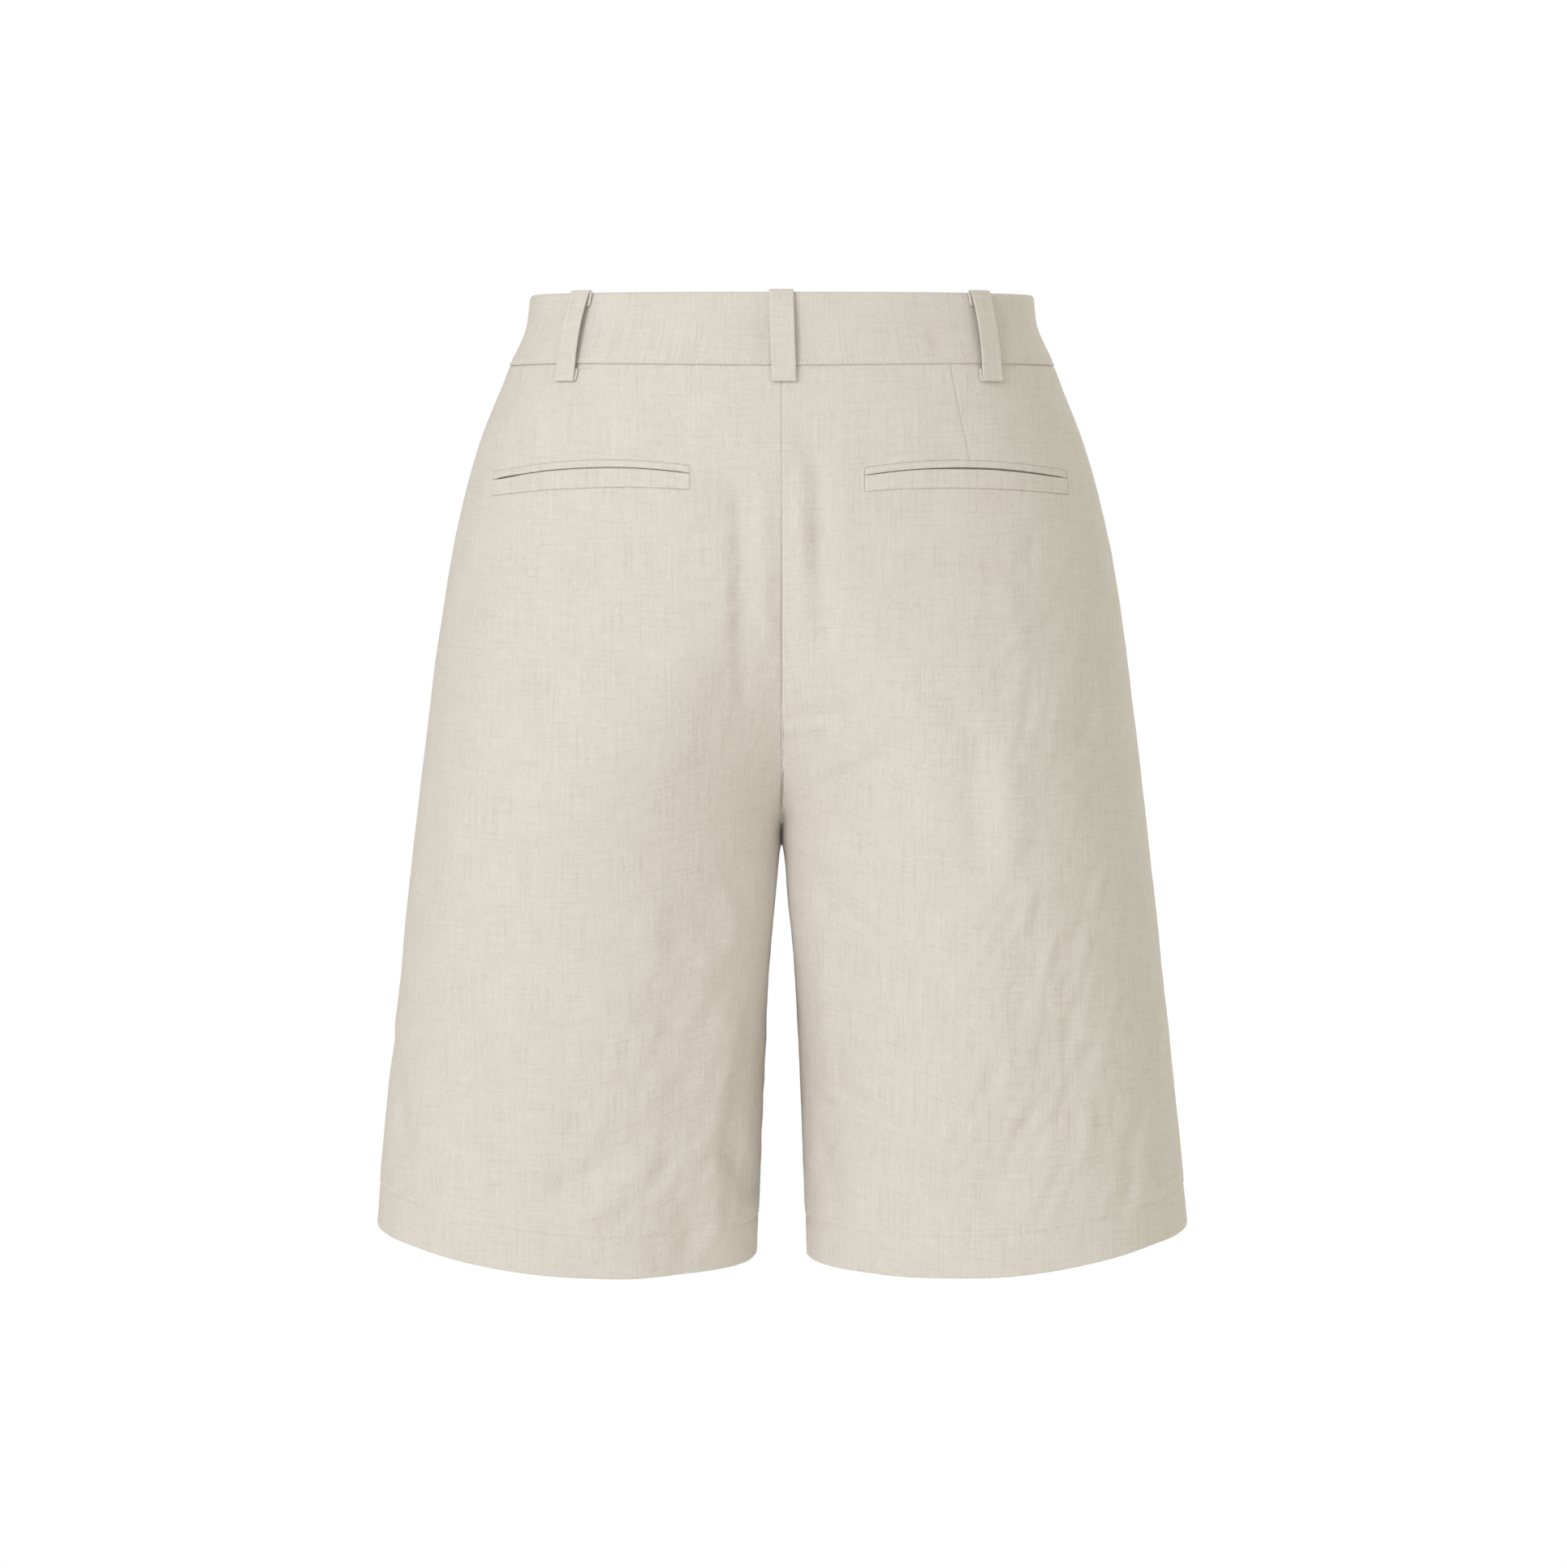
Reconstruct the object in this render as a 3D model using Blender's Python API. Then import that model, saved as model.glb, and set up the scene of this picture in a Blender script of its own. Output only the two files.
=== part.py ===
"""Bermuda shorts in plain linen, filled out as they are worn, with nobody in them.

Each piece that a maker cuts is one solid: four leg panels, three lengths of waistband, five belt
loops, the welt and lip of two back pockets, and the waist button. The cloth is a wall that follows
smooth level sections of the body: one rounded section from the waist to the hip, which divides
into two lobes down the curve of the rise, and a tube round each leg below the crotch.

Units are metres. +Z is up, the front with its fly faces -Y, the back faces +Y, and +X is the
wearer's left. The origin is the centre of the waistband, at half its height.
"""

import math
from collections import namedtuple

import bmesh
import bpy
from mathutils import Vector

# Heights above and below the middle of the waistband.
WAISTBAND_HEIGHT = 0.038
WAIST_TOP = WAISTBAND_HEIGHT / 2
WAIST_SEAM = -WAISTBAND_HEIGHT / 2
RISE_TOP = -0.070
CROTCH = -0.277
INNER_HEM = -0.512
HEM_SLOPE = 0.085
HEM_DEPTH = 0.026

# Cloth.
SEAM_GAP = 0.0003
PANEL_WALL = 0.0015
HEM_WALL = 0.0027
TURN_UP_STEP = 0.0015
BAND_OUTER = 0.0008
BAND_WALL = 0.0025
BAND_EDGE_ROUND = 0.0007
LIFT = 0.0003

# The rise curve and the gap between the legs.
BACK, FRONT = 1, -1
LEFT, RIGHT = 1, -1
RISE_LEAN = {BACK: 0.50, FRONT: 0.25}
RISE_CORNER = {BACK: 3.3, FRONT: 3.6}
LEG_GAP = 0.0142
LEG_GAP_POWER = 0.56
# How close to the inseam the gap draws the cloth aside: at the hem, and how much closer at the crotch.
GAP_CLOSENESS = (6, 98)
# How flat the floor of the valley between the two sides is, at the top of the rise and the crotch.
VALLEY_FULLNESS = (3.0, 8.0)
# How an inner side falls away: how much it leans, and how sharp the corner is that closes it.
# The legs have one pair of values at the crotch and another from a height below it downwards.
LEAN_SPREAD = 0.52
LEG_LEAN = (0.50, 0.50)
LEG_CORNER = (6.0, 3.2)
LEG_ROUNDED_AT = -0.420

# The back hems hang lower in the middle of each leg than at its seams.
HEM_HANG = {BACK: 0.0073, FRONT: 0.0}
HANG_START, HANG_END = 0.20, 0.90
HANG_FULLNESS = 1.3

# One row for each level section, from the top of the waistband to the inner end of the hem.
# Flatness squares the section a little, as cloth lies flatter at front and back than an ellipse.
# Lobe is how far each leg's roundness has parted from the other's: 0 at the waist, 1 in the legs.
Level = namedtuple("Level", "height half_width back_depth front_depth flatness lobe")
LEVELS = (
    Level(0.019, 0.1358, 0.0960, 0.0980, 0.22, 0.00),
    Level(0.004, 0.1376, 0.0990, 0.1002, 0.22, 0.00),
    Level(-0.019, 0.1476, 0.1040, 0.1035, 0.21, 0.00),
    Level(-0.060, 0.1640, 0.1105, 0.1070, 0.20, 0.00),
    Level(-0.100, 0.1755, 0.1160, 0.1090, 0.18, 0.16),
    Level(-0.140, 0.1832, 0.1210, 0.1095, 0.16, 0.40),
    Level(-0.180, 0.1893, 0.1235, 0.1090, 0.14, 0.66),
    Level(-0.220, 0.1950, 0.1220, 0.1080, 0.12, 0.88),
    Level(-0.277, 0.2021, 0.1150, 0.1050, 0.10, 1.00),
    Level(-0.340, 0.2096, 0.1060, 0.1010, 0.08, 1.00),
    Level(-0.420, 0.2183, 0.0950, 0.0950, 0.06, 1.00),
    Level(-0.512, 0.2276, 0.0850, 0.0880, 0.05, 1.00),
)

# One row for each large fold: a soft ridge (height above 0) or trough (below 0) along a line on
# the leg, from (x, z) to (x, z) as seen from the back or front. Spread is its half width.
Fold = namedtuple("Fold", "side face start_x start_z end_x end_z spread height")
FOLDS = (
    Fold(RIGHT, BACK, 0.016, -0.055, 0.019, -0.150, 0.009, -0.0016),
    Fold(LEFT, BACK, 0.024, -0.085, 0.024, -0.180, 0.011, -0.0010),
    Fold(RIGHT, BACK, 0.020, -0.248, 0.060, -0.222, 0.012, -0.0020),
    Fold(RIGHT, BACK, 0.093, -0.205, 0.094, -0.290, 0.014, -0.0022),
    Fold(RIGHT, BACK, 0.108, -0.235, 0.107, -0.275, 0.010, 0.0012),
    Fold(RIGHT, BACK, 0.115, -0.455, 0.152, -0.378, 0.014, -0.0020),
    Fold(RIGHT, BACK, 0.060, -0.330, 0.070, -0.430, 0.024, 0.0018),
    Fold(RIGHT, BACK, 0.094, -0.200, 0.100, -0.400, 0.034, 0.0020),
    Fold(RIGHT, BACK, 0.166, -0.230, 0.176, -0.420, 0.034, -0.0022),
    Fold(LEFT, BACK, 0.032, -0.372, 0.050, -0.466, 0.010, 0.0018),
    Fold(LEFT, BACK, 0.112, -0.454, 0.076, -0.428, 0.012, -0.0022),
    Fold(LEFT, BACK, 0.170, -0.362, 0.156, -0.430, 0.013, -0.0018),
    Fold(LEFT, BACK, 0.140, -0.372, 0.135, -0.412, 0.018, 0.0018),
    Fold(LEFT, BACK, 0.066, -0.296, 0.066, -0.342, 0.011, 0.0012),
    Fold(LEFT, FRONT, 0.030, -0.240, 0.085, -0.205, 0.014, -0.0024),
    Fold(RIGHT, FRONT, 0.026, -0.250, 0.070, -0.222, 0.013, -0.0020),
    Fold(LEFT, FRONT, 0.100, -0.240, 0.104, -0.350, 0.020, 0.0020),
    Fold(RIGHT, FRONT, 0.105, -0.210, 0.100, -0.300, 0.018, 0.0020),
    Fold(LEFT, FRONT, 0.070, -0.455, 0.120, -0.400, 0.014, -0.0020),
    Fold(RIGHT, FRONT, 0.150, -0.440, 0.120, -0.370, 0.014, -0.0018),
)

# Belt loops: a strip that stands off the band between its two folded and stitched ends.
LOOP_WIDTH = 0.0128
LoopRow = namedtuple("LoopRow", "height inner outer")
LOOP_PROFILE = (
    LoopRow(-0.0285, 0.0004, 0.0024),
    LoopRow(-0.0208, 0.0004, 0.0029),
    LoopRow(-0.0165, 0.0023, 0.0040),
    LoopRow(-0.0090, 0.0036, 0.0050),
    LoopRow(0.0010, 0.0038, 0.0052),
    LoopRow(0.0090, 0.0033, 0.0048),
    LoopRow(0.0140, 0.0012, 0.0042),
    LoopRow(0.0202, 0.0011, 0.0032),
)
Loop = namedtuple("Loop", "name face top_x bottom_x")
LOOPS = (
    Loop("loop_back_centre", BACK, 0.0000, -0.0004),
    Loop("loop_back_left", BACK, 0.1052, 0.1134),
    Loop("loop_back_right", BACK, -0.1030, -0.1110),
    Loop("loop_front_left", FRONT, 0.0850, 0.0915),
    Loop("loop_front_right", FRONT, -0.0850, -0.0915),
)

# Back pockets: a welt below the opening and a narrow lip above it, both lying on the panel.
Pocket = namedtuple("Pocket", "name side inner_x outer_x inner_z outer_z")
POCKETS = (
    Pocket("pocket_left", LEFT, 0.0475, 0.1535, -0.0745, -0.0792),
    Pocket("pocket_right", RIGHT, 0.0430, 0.1515, -0.0755, -0.0785),
)
POCKET_RISE = 0.0048
WELT_HEIGHT = 0.0092
LIP_HEIGHT = 0.0034
POCKET_SLIT = 0.0012
WELT_THICK = 0.0012
LIP_THICK = 0.0010

# The closure at the centre front.
OVERLAP_END = 0.014
UNDERLAP_END = -0.022
UNDERLAP_RAMP = 0.016
Turn = namedtuple("Turn", "radius height")
BUTTON_PROFILE = (
    Turn(0.0000, 0.0003),
    Turn(0.0074, 0.0003),
    Turn(0.0090, 0.0016),
    Turn(0.0088, 0.0026),
    Turn(0.0074, 0.0032),
    Turn(0.0058, 0.0025),
    Turn(0.0000, 0.0024),
)

# How finely the solids are divided.
PANEL_COLUMNS = 20
RISE_ROWS = 16
LEG_ROWS = 10
BAND_BACK_COLUMNS = 36
BAND_FRONT_COLUMNS = 20
POCKET_PARTS = 14
BUTTON_SIDES = 28

LINEN = (0.710, 0.665, 0.560)
LINEN_ROUGHNESS = 0.85
BUTTON_COLOUR = (0.520, 0.440, 0.320)
BUTTON_ROUGHNESS = 0.35


def smooth_step(share):
    """0 to 1 with level ends, held outside them."""
    share = min(max(share, 0.0), 1.0)
    return share * share * (3 - 2 * share)


def level_value(height, column):
    """One column of LEVELS at any height, on a smooth curve through its rows."""
    rows = [(level.height, getattr(level, column)) for level in reversed(LEVELS)]
    steps = [(b[1] - a[1]) / (b[0] - a[0]) for a, b in zip(rows, rows[1:])]
    slopes = [steps[0]]
    for before, after in zip(steps, steps[1:]):
        slopes.append(2 * before * after / (before + after) if before * after > 0 else 0.0)
    slopes.append(steps[-1])
    at = sum(1 for row in rows[1:-1] if height > row[0])
    span = rows[at + 1][0] - rows[at][0]
    t = (height - rows[at][0]) / span
    start = (2 * t**3 - 3 * t**2 + 1) * rows[at][1] + (t**3 - 2 * t**2 + t) * span * slopes[at]
    end = (3 * t**2 - 2 * t**3) * rows[at + 1][1] + (t**3 - t**2) * span * slopes[at + 1]
    return start + end


def falling(share, lean, corner):
    """How far an inner side stands out, from 1 at its start to 0 at its end, as a share of depth."""
    slope = 1 - lean * math.log1p(LEAN_SPREAD * share * share) / LEAN_SPREAD
    return slope * max(1 - share**corner, 0.0) ** (1 / corner)


class LegSection:
    """The level curve of one leg's cloth, as far as the centre seam or the inseam.

    An outer quarter runs from the side seam to the crest, where the cloth stands furthest out.
    An inner quarter runs from the crest to the centre seam above the crotch, and round the inside
    of the leg below it.
    """

    def __init__(self, height, face):
        width = level_value(height, "half_width")
        below = max((CROTCH - height) / (CROTCH - INNER_HEM), 0.0)
        down = min(max((RISE_TOP - height) / (RISE_TOP - CROTCH), 0.0), 1.0)
        rounded = smooth_step((CROTCH - height) / (CROTCH - LEG_ROUNDED_AT))
        self.height = height
        self.face = face
        self.gap = LEG_GAP * below**LEG_GAP_POWER
        self.closeness = GAP_CLOSENESS[0] + GAP_CLOSENESS[1] * (1 - below) ** 8
        self.crest_x = (level_value(height, "lobe") * width + LEG_GAP * below**2) / 2
        self.outer_reach = width - self.crest_x
        self.inner_reach = self.crest_x - self.gap
        self.depth = level_value(height, "back_depth" if face == BACK else "front_depth")
        self.flatness = level_value(height, "flatness")
        self.lean = LEG_LEAN[0] + (LEG_LEAN[1] - LEG_LEAN[0]) * rounded
        self.corner = LEG_CORNER[0] + (LEG_CORNER[1] - LEG_CORNER[0]) * rounded
        self.valley = VALLEY_FULLNESS[0] + (VALLEY_FULLNESS[1] - VALLEY_FULLNESS[0]) * down**2
        self.rise = falling(down, RISE_LEAN[face], RISE_CORNER[face])

    def outer_point(self, angle):
        """A point outside the crest, at an angle from the side seam."""
        reach = self.depth * math.sin(angle) * (1 + self.flatness * math.cos(angle) ** 2)
        return Vector((self.crest_x + self.outer_reach * math.cos(angle), self.face * reach, self.height))

    def inner_point(self, share):
        """A point inside the crest, at a share of the way to the centre seam or the inseam."""
        round_leg = falling(share, self.lean, self.corner) ** self.valley
        seam = self.rise**self.valley
        reach = self.depth * (round_leg * (1 - seam) + seam) ** (1 / self.valley)
        x = self.crest_x * (1 - share) + self.gap * share**self.closeness
        return Vector((x, self.face * reach, self.height))

    def pulled(self, share):
        """A share at an even step along the inner cloth, as a share of the inner part's width."""
        lean = self.corner - math.pi / 2
        turned = 1 - (1 - share) ** self.corner * (1 + lean * share)
        return share + (1 - self.rise**4) * (turned - share)

    def point_at(self, x):
        """The point at a distance x from the middle of the garment, above the crotch."""
        if x >= self.crest_x:
            return self.outer_point(math.acos(min((x - self.crest_x) / self.outer_reach, 1.0)))
        return self.inner_point(min((self.crest_x - x) / self.crest_x, 1.0))


def cloth_point(height, face, across):
    """A point of the left side's cloth: across is 0 at the side seam and 1 at the centre or inseam."""
    section = LegSection(height, face)
    crest = section.outer_reach / (section.outer_reach + section.inner_reach)
    if across <= crest:
        return section.outer_point(math.pi / 2 * across / crest)
    return section.inner_point(section.pulled((across - crest) / (1 - crest)))


def fold_height(side, face, x, z):
    """How far the folds raise or sink the cloth at a point, given by its distance from the middle."""
    total = 0.0
    for fold in FOLDS:
        if (fold.side, fold.face) != (side, face):
            continue
        line_x = fold.end_x - fold.start_x
        line_z = fold.end_z - fold.start_z
        length = math.hypot(line_x, line_z)
        along = ((x - fold.start_x) * line_x + (z - fold.start_z) * line_z) / length
        aside = ((x - fold.start_x) * line_z - (z - fold.start_z) * line_x) / length
        past_end = max(-along, along - length, 0.0)
        total += fold.height * math.exp(-(aside**2 + past_end**2) / fold.spread**2)
    return total


def placed(point, side, face):
    """A point of the left side's cloth on either side, half a seam gap away from both seam planes."""
    return Vector((side * (point.x + SEAM_GAP / 2), point.y + face * SEAM_GAP / 2, point.z))


def make_material(name, colour, roughness):
    """A plain Principled material."""
    material = bpy.data.materials.new(name)
    material.use_nodes = True
    shader = material.node_tree.nodes["Principled BSDF"]
    shader.inputs["Base Color"].default_value = (*colour, 1)
    shader.inputs["Roughness"].default_value = roughness
    shader.inputs["Metallic"].default_value = 0
    return material


def add_piece(name, points, faces, colour=LINEN, roughness=LINEN_ROUGHNESS):
    """One closed solid as an object, with its faces outwards and its own material."""
    mesh = bpy.data.meshes.new(name)
    mesh.from_pydata(points, [], faces)
    shape = bmesh.new()
    shape.from_mesh(mesh)
    bmesh.ops.recalc_face_normals(shape, faces=shape.faces)
    shape.to_mesh(mesh)
    shape.free()
    mesh.materials.append(make_material(name, colour, roughness))
    piece = bpy.data.objects.new(name, mesh)
    bpy.context.scene.collection.objects.link(piece)
    mesh.shade_smooth()
    mesh.set_sharp_from_angle(angle=math.radians(40))


def wall_faces(rows, columns):
    """Faces of a wall whose outer points come first and its inner points after them, row by row."""
    count = rows * columns
    faces = []
    for row in range(rows - 1):
        for column in range(columns - 1):
            a = row * columns + column
            b, c, d = a + 1, a + columns + 1, a + columns
            faces.append((a, b, c, d))
            faces.append((count + d, count + c, count + b, count + a))
    for column in range(columns - 1):
        top = column
        bottom = (rows - 1) * columns + column
        faces.append((top + 1, top, count + top, count + top + 1))
        faces.append((bottom, bottom + 1, count + bottom + 1, count + bottom))
    for row in range(rows - 1):
        first = row * columns
        last = first + columns - 1
        faces.append((first, first + columns, count + first + columns, count + first))
        faces.append((last + columns, last, count + last, count + last + columns))
    return faces


def add_wall(name, outer, inner):
    """A wall between an outer and an inner grid of points, each a list of rows."""
    points = [point for row in outer for point in row] + [point for row in inner for point in row]
    add_piece(name, points, wall_faces(len(outer), len(outer[0])))


def rise_heights(face):
    """Heights that divide the rise curve, from the waist seam to the crotch, into equal lengths."""
    samples = 1200
    heights, lengths = [], []
    for sample in range(samples + 1):
        curve = 1 - (1 - sample / samples) ** RISE_CORNER[face]
        heights.append(RISE_TOP + (CROTCH - RISE_TOP) * curve)
        point = cloth_point(heights[-1], face, 1.0)
        if sample:
            lengths.append(lengths[-1] + (point - before).length)
        else:
            lengths.append((cloth_point(WAIST_SEAM, face, 1.0) - point).length)
        before = point
    straight = lengths[0]
    found = []
    for row in range(RISE_ROWS + 1):
        wanted = lengths[-1] * row / RISE_ROWS
        if wanted <= straight:
            found.append(WAIST_SEAM + (RISE_TOP - WAIST_SEAM) * wanted / straight)
            continue
        at = next(index for index, length in enumerate(lengths) if length >= wanted - 1e-12)
        share = (wanted - lengths[at - 1]) / (lengths[at] - lengths[at - 1])
        found.append(heights[at - 1] + (heights[at] - heights[at - 1]) * share)
    found[-1] = CROTCH
    return found


def panel_levels(face):
    """Each row of a panel as (height at the inner edge, height at the side seam)."""
    inner = rise_heights(face)
    hem_line = INNER_HEM + HEM_DEPTH
    inner += [CROTCH + (hem_line - CROTCH) * row / LEG_ROWS for row in range(1, LEG_ROWS + 1)]
    inner += [hem_line - TURN_UP_STEP, (hem_line + INNER_HEM) / 2, INNER_HEM]
    side_hem = INNER_HEM + HEM_SLOPE * level_value(INNER_HEM, "half_width")
    side_hem_line = side_hem + HEM_DEPTH
    even_rows = RISE_ROWS + LEG_ROWS
    side = [WAIST_SEAM + (side_hem_line - WAIST_SEAM) * row / even_rows for row in range(even_rows + 1)]
    side += [side_hem_line - TURN_UP_STEP, (side_hem_line + side_hem) / 2, side_hem]
    inner[0] -= SEAM_GAP / 2
    side[0] -= SEAM_GAP / 2
    return list(zip(inner, side))


def hem_hang(face, across):
    """How much lower a hem hangs at a place across the leg than the curve between its seams."""
    share = min(max((across - HANG_START) / (HANG_END - HANG_START), 0.0), 1.0)
    return HEM_HANG[face] * math.sin(math.pi * share) ** HANG_FULLNESS


def panel_point(levels, face, row, across):
    """A smooth point of a panel. Rows may lie between or just beyond the levels, and so may across."""
    at = min(max(int(math.floor(row)), 0), len(levels) - 2)
    share = row - at
    inner = levels[at][0] + (levels[at + 1][0] - levels[at][0]) * share
    side = levels[at][1] + (levels[at + 1][1] - levels[at][1]) * share
    down_leg = min(max((CROTCH - inner) / (CROTCH - INNER_HEM - HEM_DEPTH), 0.0), 1.0)
    height = side + (inner - side) * across**2 - hem_hang(face, across) * down_leg
    return cloth_point(height, face, across)


def panel_normal(levels, face, row, across):
    """The outward normal of a panel, taken over half a row and half a column each way."""
    if across == 1 and row == RISE_ROWS:
        return Vector((-1, 0, -1)).normalized()
    reach = 0.5 / PANEL_COLUMNS
    before = panel_point(levels, face, row, across - reach)
    if across < 1:
        after = panel_point(levels, face, row, across + reach)
    elif row < RISE_ROWS:
        after = Vector((-before.x, before.y, before.z))
    else:
        after = Vector((before.x, -before.y, before.z))
    down = panel_point(levels, face, row + 0.5, across) - panel_point(levels, face, row - 0.5, across)
    normal = (after - before).cross(down).normalized()
    return -normal if face == BACK else normal


def panel_grids(side, face):
    """The outer and inner points of a leg panel."""
    levels = panel_levels(face)
    hem_row = RISE_ROWS + LEG_ROWS + 1
    outer, inner = [], []
    for row in range(len(levels)):
        wall = HEM_WALL if row >= hem_row else PANEL_WALL
        outer.append([])
        inner.append([])
        for column in range(PANEL_COLUMNS + 1):
            across = column / PANEL_COLUMNS
            point = panel_point(levels, face, row, across)
            normal = panel_normal(levels, face, row, across)
            raised = point + normal * fold_height(side, face, point.x, point.z)
            outer[-1].append(placed(raised, side, face))
            inner[-1].append(placed(raised - normal * wall, side, face))
    return outer, inner


def add_panel(name, side, face):
    """A leg panel from the waist seam to the hem, thicker where the hem is turned up inside."""
    outer, inner = panel_grids(side, face)
    add_wall(name, outer, inner)


def surface_frame(x, height, face):
    """A point of the cloth at x and a height, its outward normal, and the level direction along it."""
    reach = 0.0005
    side = -1 if x < 0 else 1
    section = LegSection(height, face)
    point = section.point_at(abs(x))
    if abs(x) > reach:
        along = (section.point_at(abs(x) + reach) - section.point_at(abs(x) - reach)).normalized()
    else:
        along = Vector((1, 0, 0))
    over = LegSection(height + reach, face).point_at(abs(x))
    under = LegSection(height - reach, face).point_at(abs(x))
    normal = along.cross(over - under).normalized()
    if normal.y * face < 0:
        normal.negate()
    flip = Vector((side, 1, 1))
    return point * flip, normal * flip, along * flip


def band_point(height, face, angle, offset):
    """A point of the waistband, at an angle from the left side seam, moved level out by an offset."""
    section = LegSection(height, face)
    reach = 0.002
    point = section.outer_point(angle)
    along = section.outer_point(angle + reach) - section.outer_point(angle - reach)
    outwards = Vector((along.y, -along.x, 0)).normalized() * face
    return point + outwards * offset


def add_waistband(name, face, angles, depth_at=None):
    """A length of waistband between two angles, with its top edge rounded off."""
    low = WAIST_SEAM + SEAM_GAP / 2
    rows = (
        (WAIST_TOP, BAND_EDGE_ROUND),
        (WAIST_TOP - BAND_EDGE_ROUND, 0.0),
        (WAIST_TOP - WAISTBAND_HEIGHT / 3, 0.0),
        (WAIST_TOP - WAISTBAND_HEIGHT * 2 / 3, 0.0),
        (low, 0.0),
    )
    outer, inner = [], []
    for height, edge in rows:
        outer.append([])
        inner.append([])
        for angle in angles:
            sunk = depth_at(angle) if depth_at else 0.0
            outer[-1].append(band_point(height, face, angle, BAND_OUTER - edge - sunk))
            inner[-1].append(band_point(height, face, angle, BAND_OUTER - BAND_WALL + edge - sunk))
            for point in (outer[-1][-1], inner[-1][-1]):
                point.y += face * SEAM_GAP / 2
    add_wall(name, outer, inner)


def add_waistbands():
    """The back waistband, and two front ones, of which the right laps over the left."""
    columns = range(BAND_BACK_COLUMNS + 1)
    add_waistband("waistband_back", BACK, [math.pi * column / BAND_BACK_COLUMNS for column in columns])
    width = level_value(0.0, "half_width")
    sink = BAND_WALL + SEAM_GAP
    under_angle = math.acos(UNDERLAP_END / width)
    over_angle = math.acos(OVERLAP_END / width)
    ramp_start = math.acos((OVERLAP_END + UNDERLAP_RAMP) / width)
    ramp_end = math.acos((OVERLAP_END + SEAM_GAP * 4) / width)

    def sunk(angle):
        return sink * smooth_step((angle - ramp_start) / (ramp_end - ramp_start))

    columns = range(BAND_FRONT_COLUMNS + 1)
    left = [under_angle * column / BAND_FRONT_COLUMNS for column in columns]
    right = [over_angle + (math.pi - over_angle) * column / BAND_FRONT_COLUMNS for column in columns]
    add_waistband("waistband_front_left", FRONT, left, depth_at=sunk)
    add_waistband("waistband_front_right", FRONT, right)


def add_loop(loop):
    """A belt loop, whose ends lie on the top of the band and on the panel below the seam."""
    low = LOOP_PROFILE[0].height
    high = LOOP_PROFILE[-1].height
    outer, inner = [], []
    for row in LOOP_PROFILE:
        share = (row.height - low) / (high - low)
        x = loop.bottom_x + (loop.top_x - loop.bottom_x) * share
        point, normal, along = surface_frame(x, min(row.height, WAIST_TOP), loop.face)
        point.z = row.height
        half = along * (LOOP_WIDTH / 2)
        outer.append([point + normal * row.outer - half, point + normal * row.outer + half])
        inner.append([point + normal * row.inner - half, point + normal * row.inner + half])
    add_wall(loop.name, outer, inner)


def pocket_height(pocket, x):
    """Height of a pocket's opening at x: an arc between its two ends."""
    share = (x - pocket.inner_x) / (pocket.outer_x - pocket.inner_x)
    straight = pocket.inner_z + (pocket.outer_z - pocket.inner_z) * share
    return straight + POCKET_RISE * (1 - (2 * share - 1) ** 2)


def add_pocket_strip(name, pocket, low, high, thick):
    """A strip on the panel beside a pocket's opening, between two distances above it."""
    outer, inner = [], []
    for rise in (low, high):
        outer.append([])
        inner.append([])
        for part in range(POCKET_PARTS + 1):
            x = pocket.inner_x + (pocket.outer_x - pocket.inner_x) * part / POCKET_PARTS
            z = pocket_height(pocket, x) + rise
            point, normal, _ = surface_frame(pocket.side * x, z, BACK)
            point += normal * fold_height(pocket.side, BACK, x, z)
            point += Vector((pocket.side, 1, 0)) * (SEAM_GAP / 2)
            inner[-1].append(point + normal * LIFT)
            outer[-1].append(point + normal * (LIFT + thick))
    add_wall(name, outer, inner)


def add_pockets():
    """The welt below each pocket's opening and the lip above it."""
    half_slit = POCKET_SLIT / 2
    for pocket in POCKETS:
        add_pocket_strip(f"{pocket.name}_welt", pocket, -half_slit - WELT_HEIGHT, -half_slit, WELT_THICK)
        add_pocket_strip(f"{pocket.name}_lip", pocket, half_slit, half_slit + LIP_HEIGHT, LIP_THICK)


def add_button():
    """A turned button on the front of the waistband, facing forwards."""
    point, normal, along = surface_frame(0.0, 0.0, FRONT)
    centre = point + normal * (BAND_OUTER + SEAM_GAP / 2)
    up = normal.cross(along)
    points = [centre + normal * BUTTON_PROFILE[0].height]
    for ring in BUTTON_PROFILE[1:-1]:
        for side in range(BUTTON_SIDES):
            angle = 2 * math.pi * side / BUTTON_SIDES
            spoke = along * math.cos(angle) + up * math.sin(angle)
            points.append(centre + spoke * ring.radius + normal * ring.height)
    points.append(centre + normal * BUTTON_PROFILE[-1].height)
    faces = []
    for side in range(BUTTON_SIDES):
        after = (side + 1) % BUTTON_SIDES
        faces.append((0, 1 + after, 1 + side))
        for ring in range(len(BUTTON_PROFILE) - 3):
            low = 1 + ring * BUTTON_SIDES
            high = low + BUTTON_SIDES
            faces.append((low + side, low + after, high + after, high + side))
        rim = 1 + (len(BUTTON_PROFILE) - 3) * BUTTON_SIDES
        faces.append((rim + side, rim + after, len(points) - 1))
    add_piece("button", points, faces, BUTTON_COLOUR, BUTTON_ROUGHNESS)


def main():
    """Build the shorts, piece by piece."""
    for item in list(bpy.data.objects):
        bpy.data.objects.remove(item, do_unlink=True)
    add_panel("back_left", LEFT, BACK)
    add_panel("back_right", RIGHT, BACK)
    add_panel("front_left", LEFT, FRONT)
    add_panel("front_right", RIGHT, FRONT)
    add_waistbands()
    for loop in LOOPS:
        add_loop(loop)
    add_pockets()
    add_button()


main()
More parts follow.
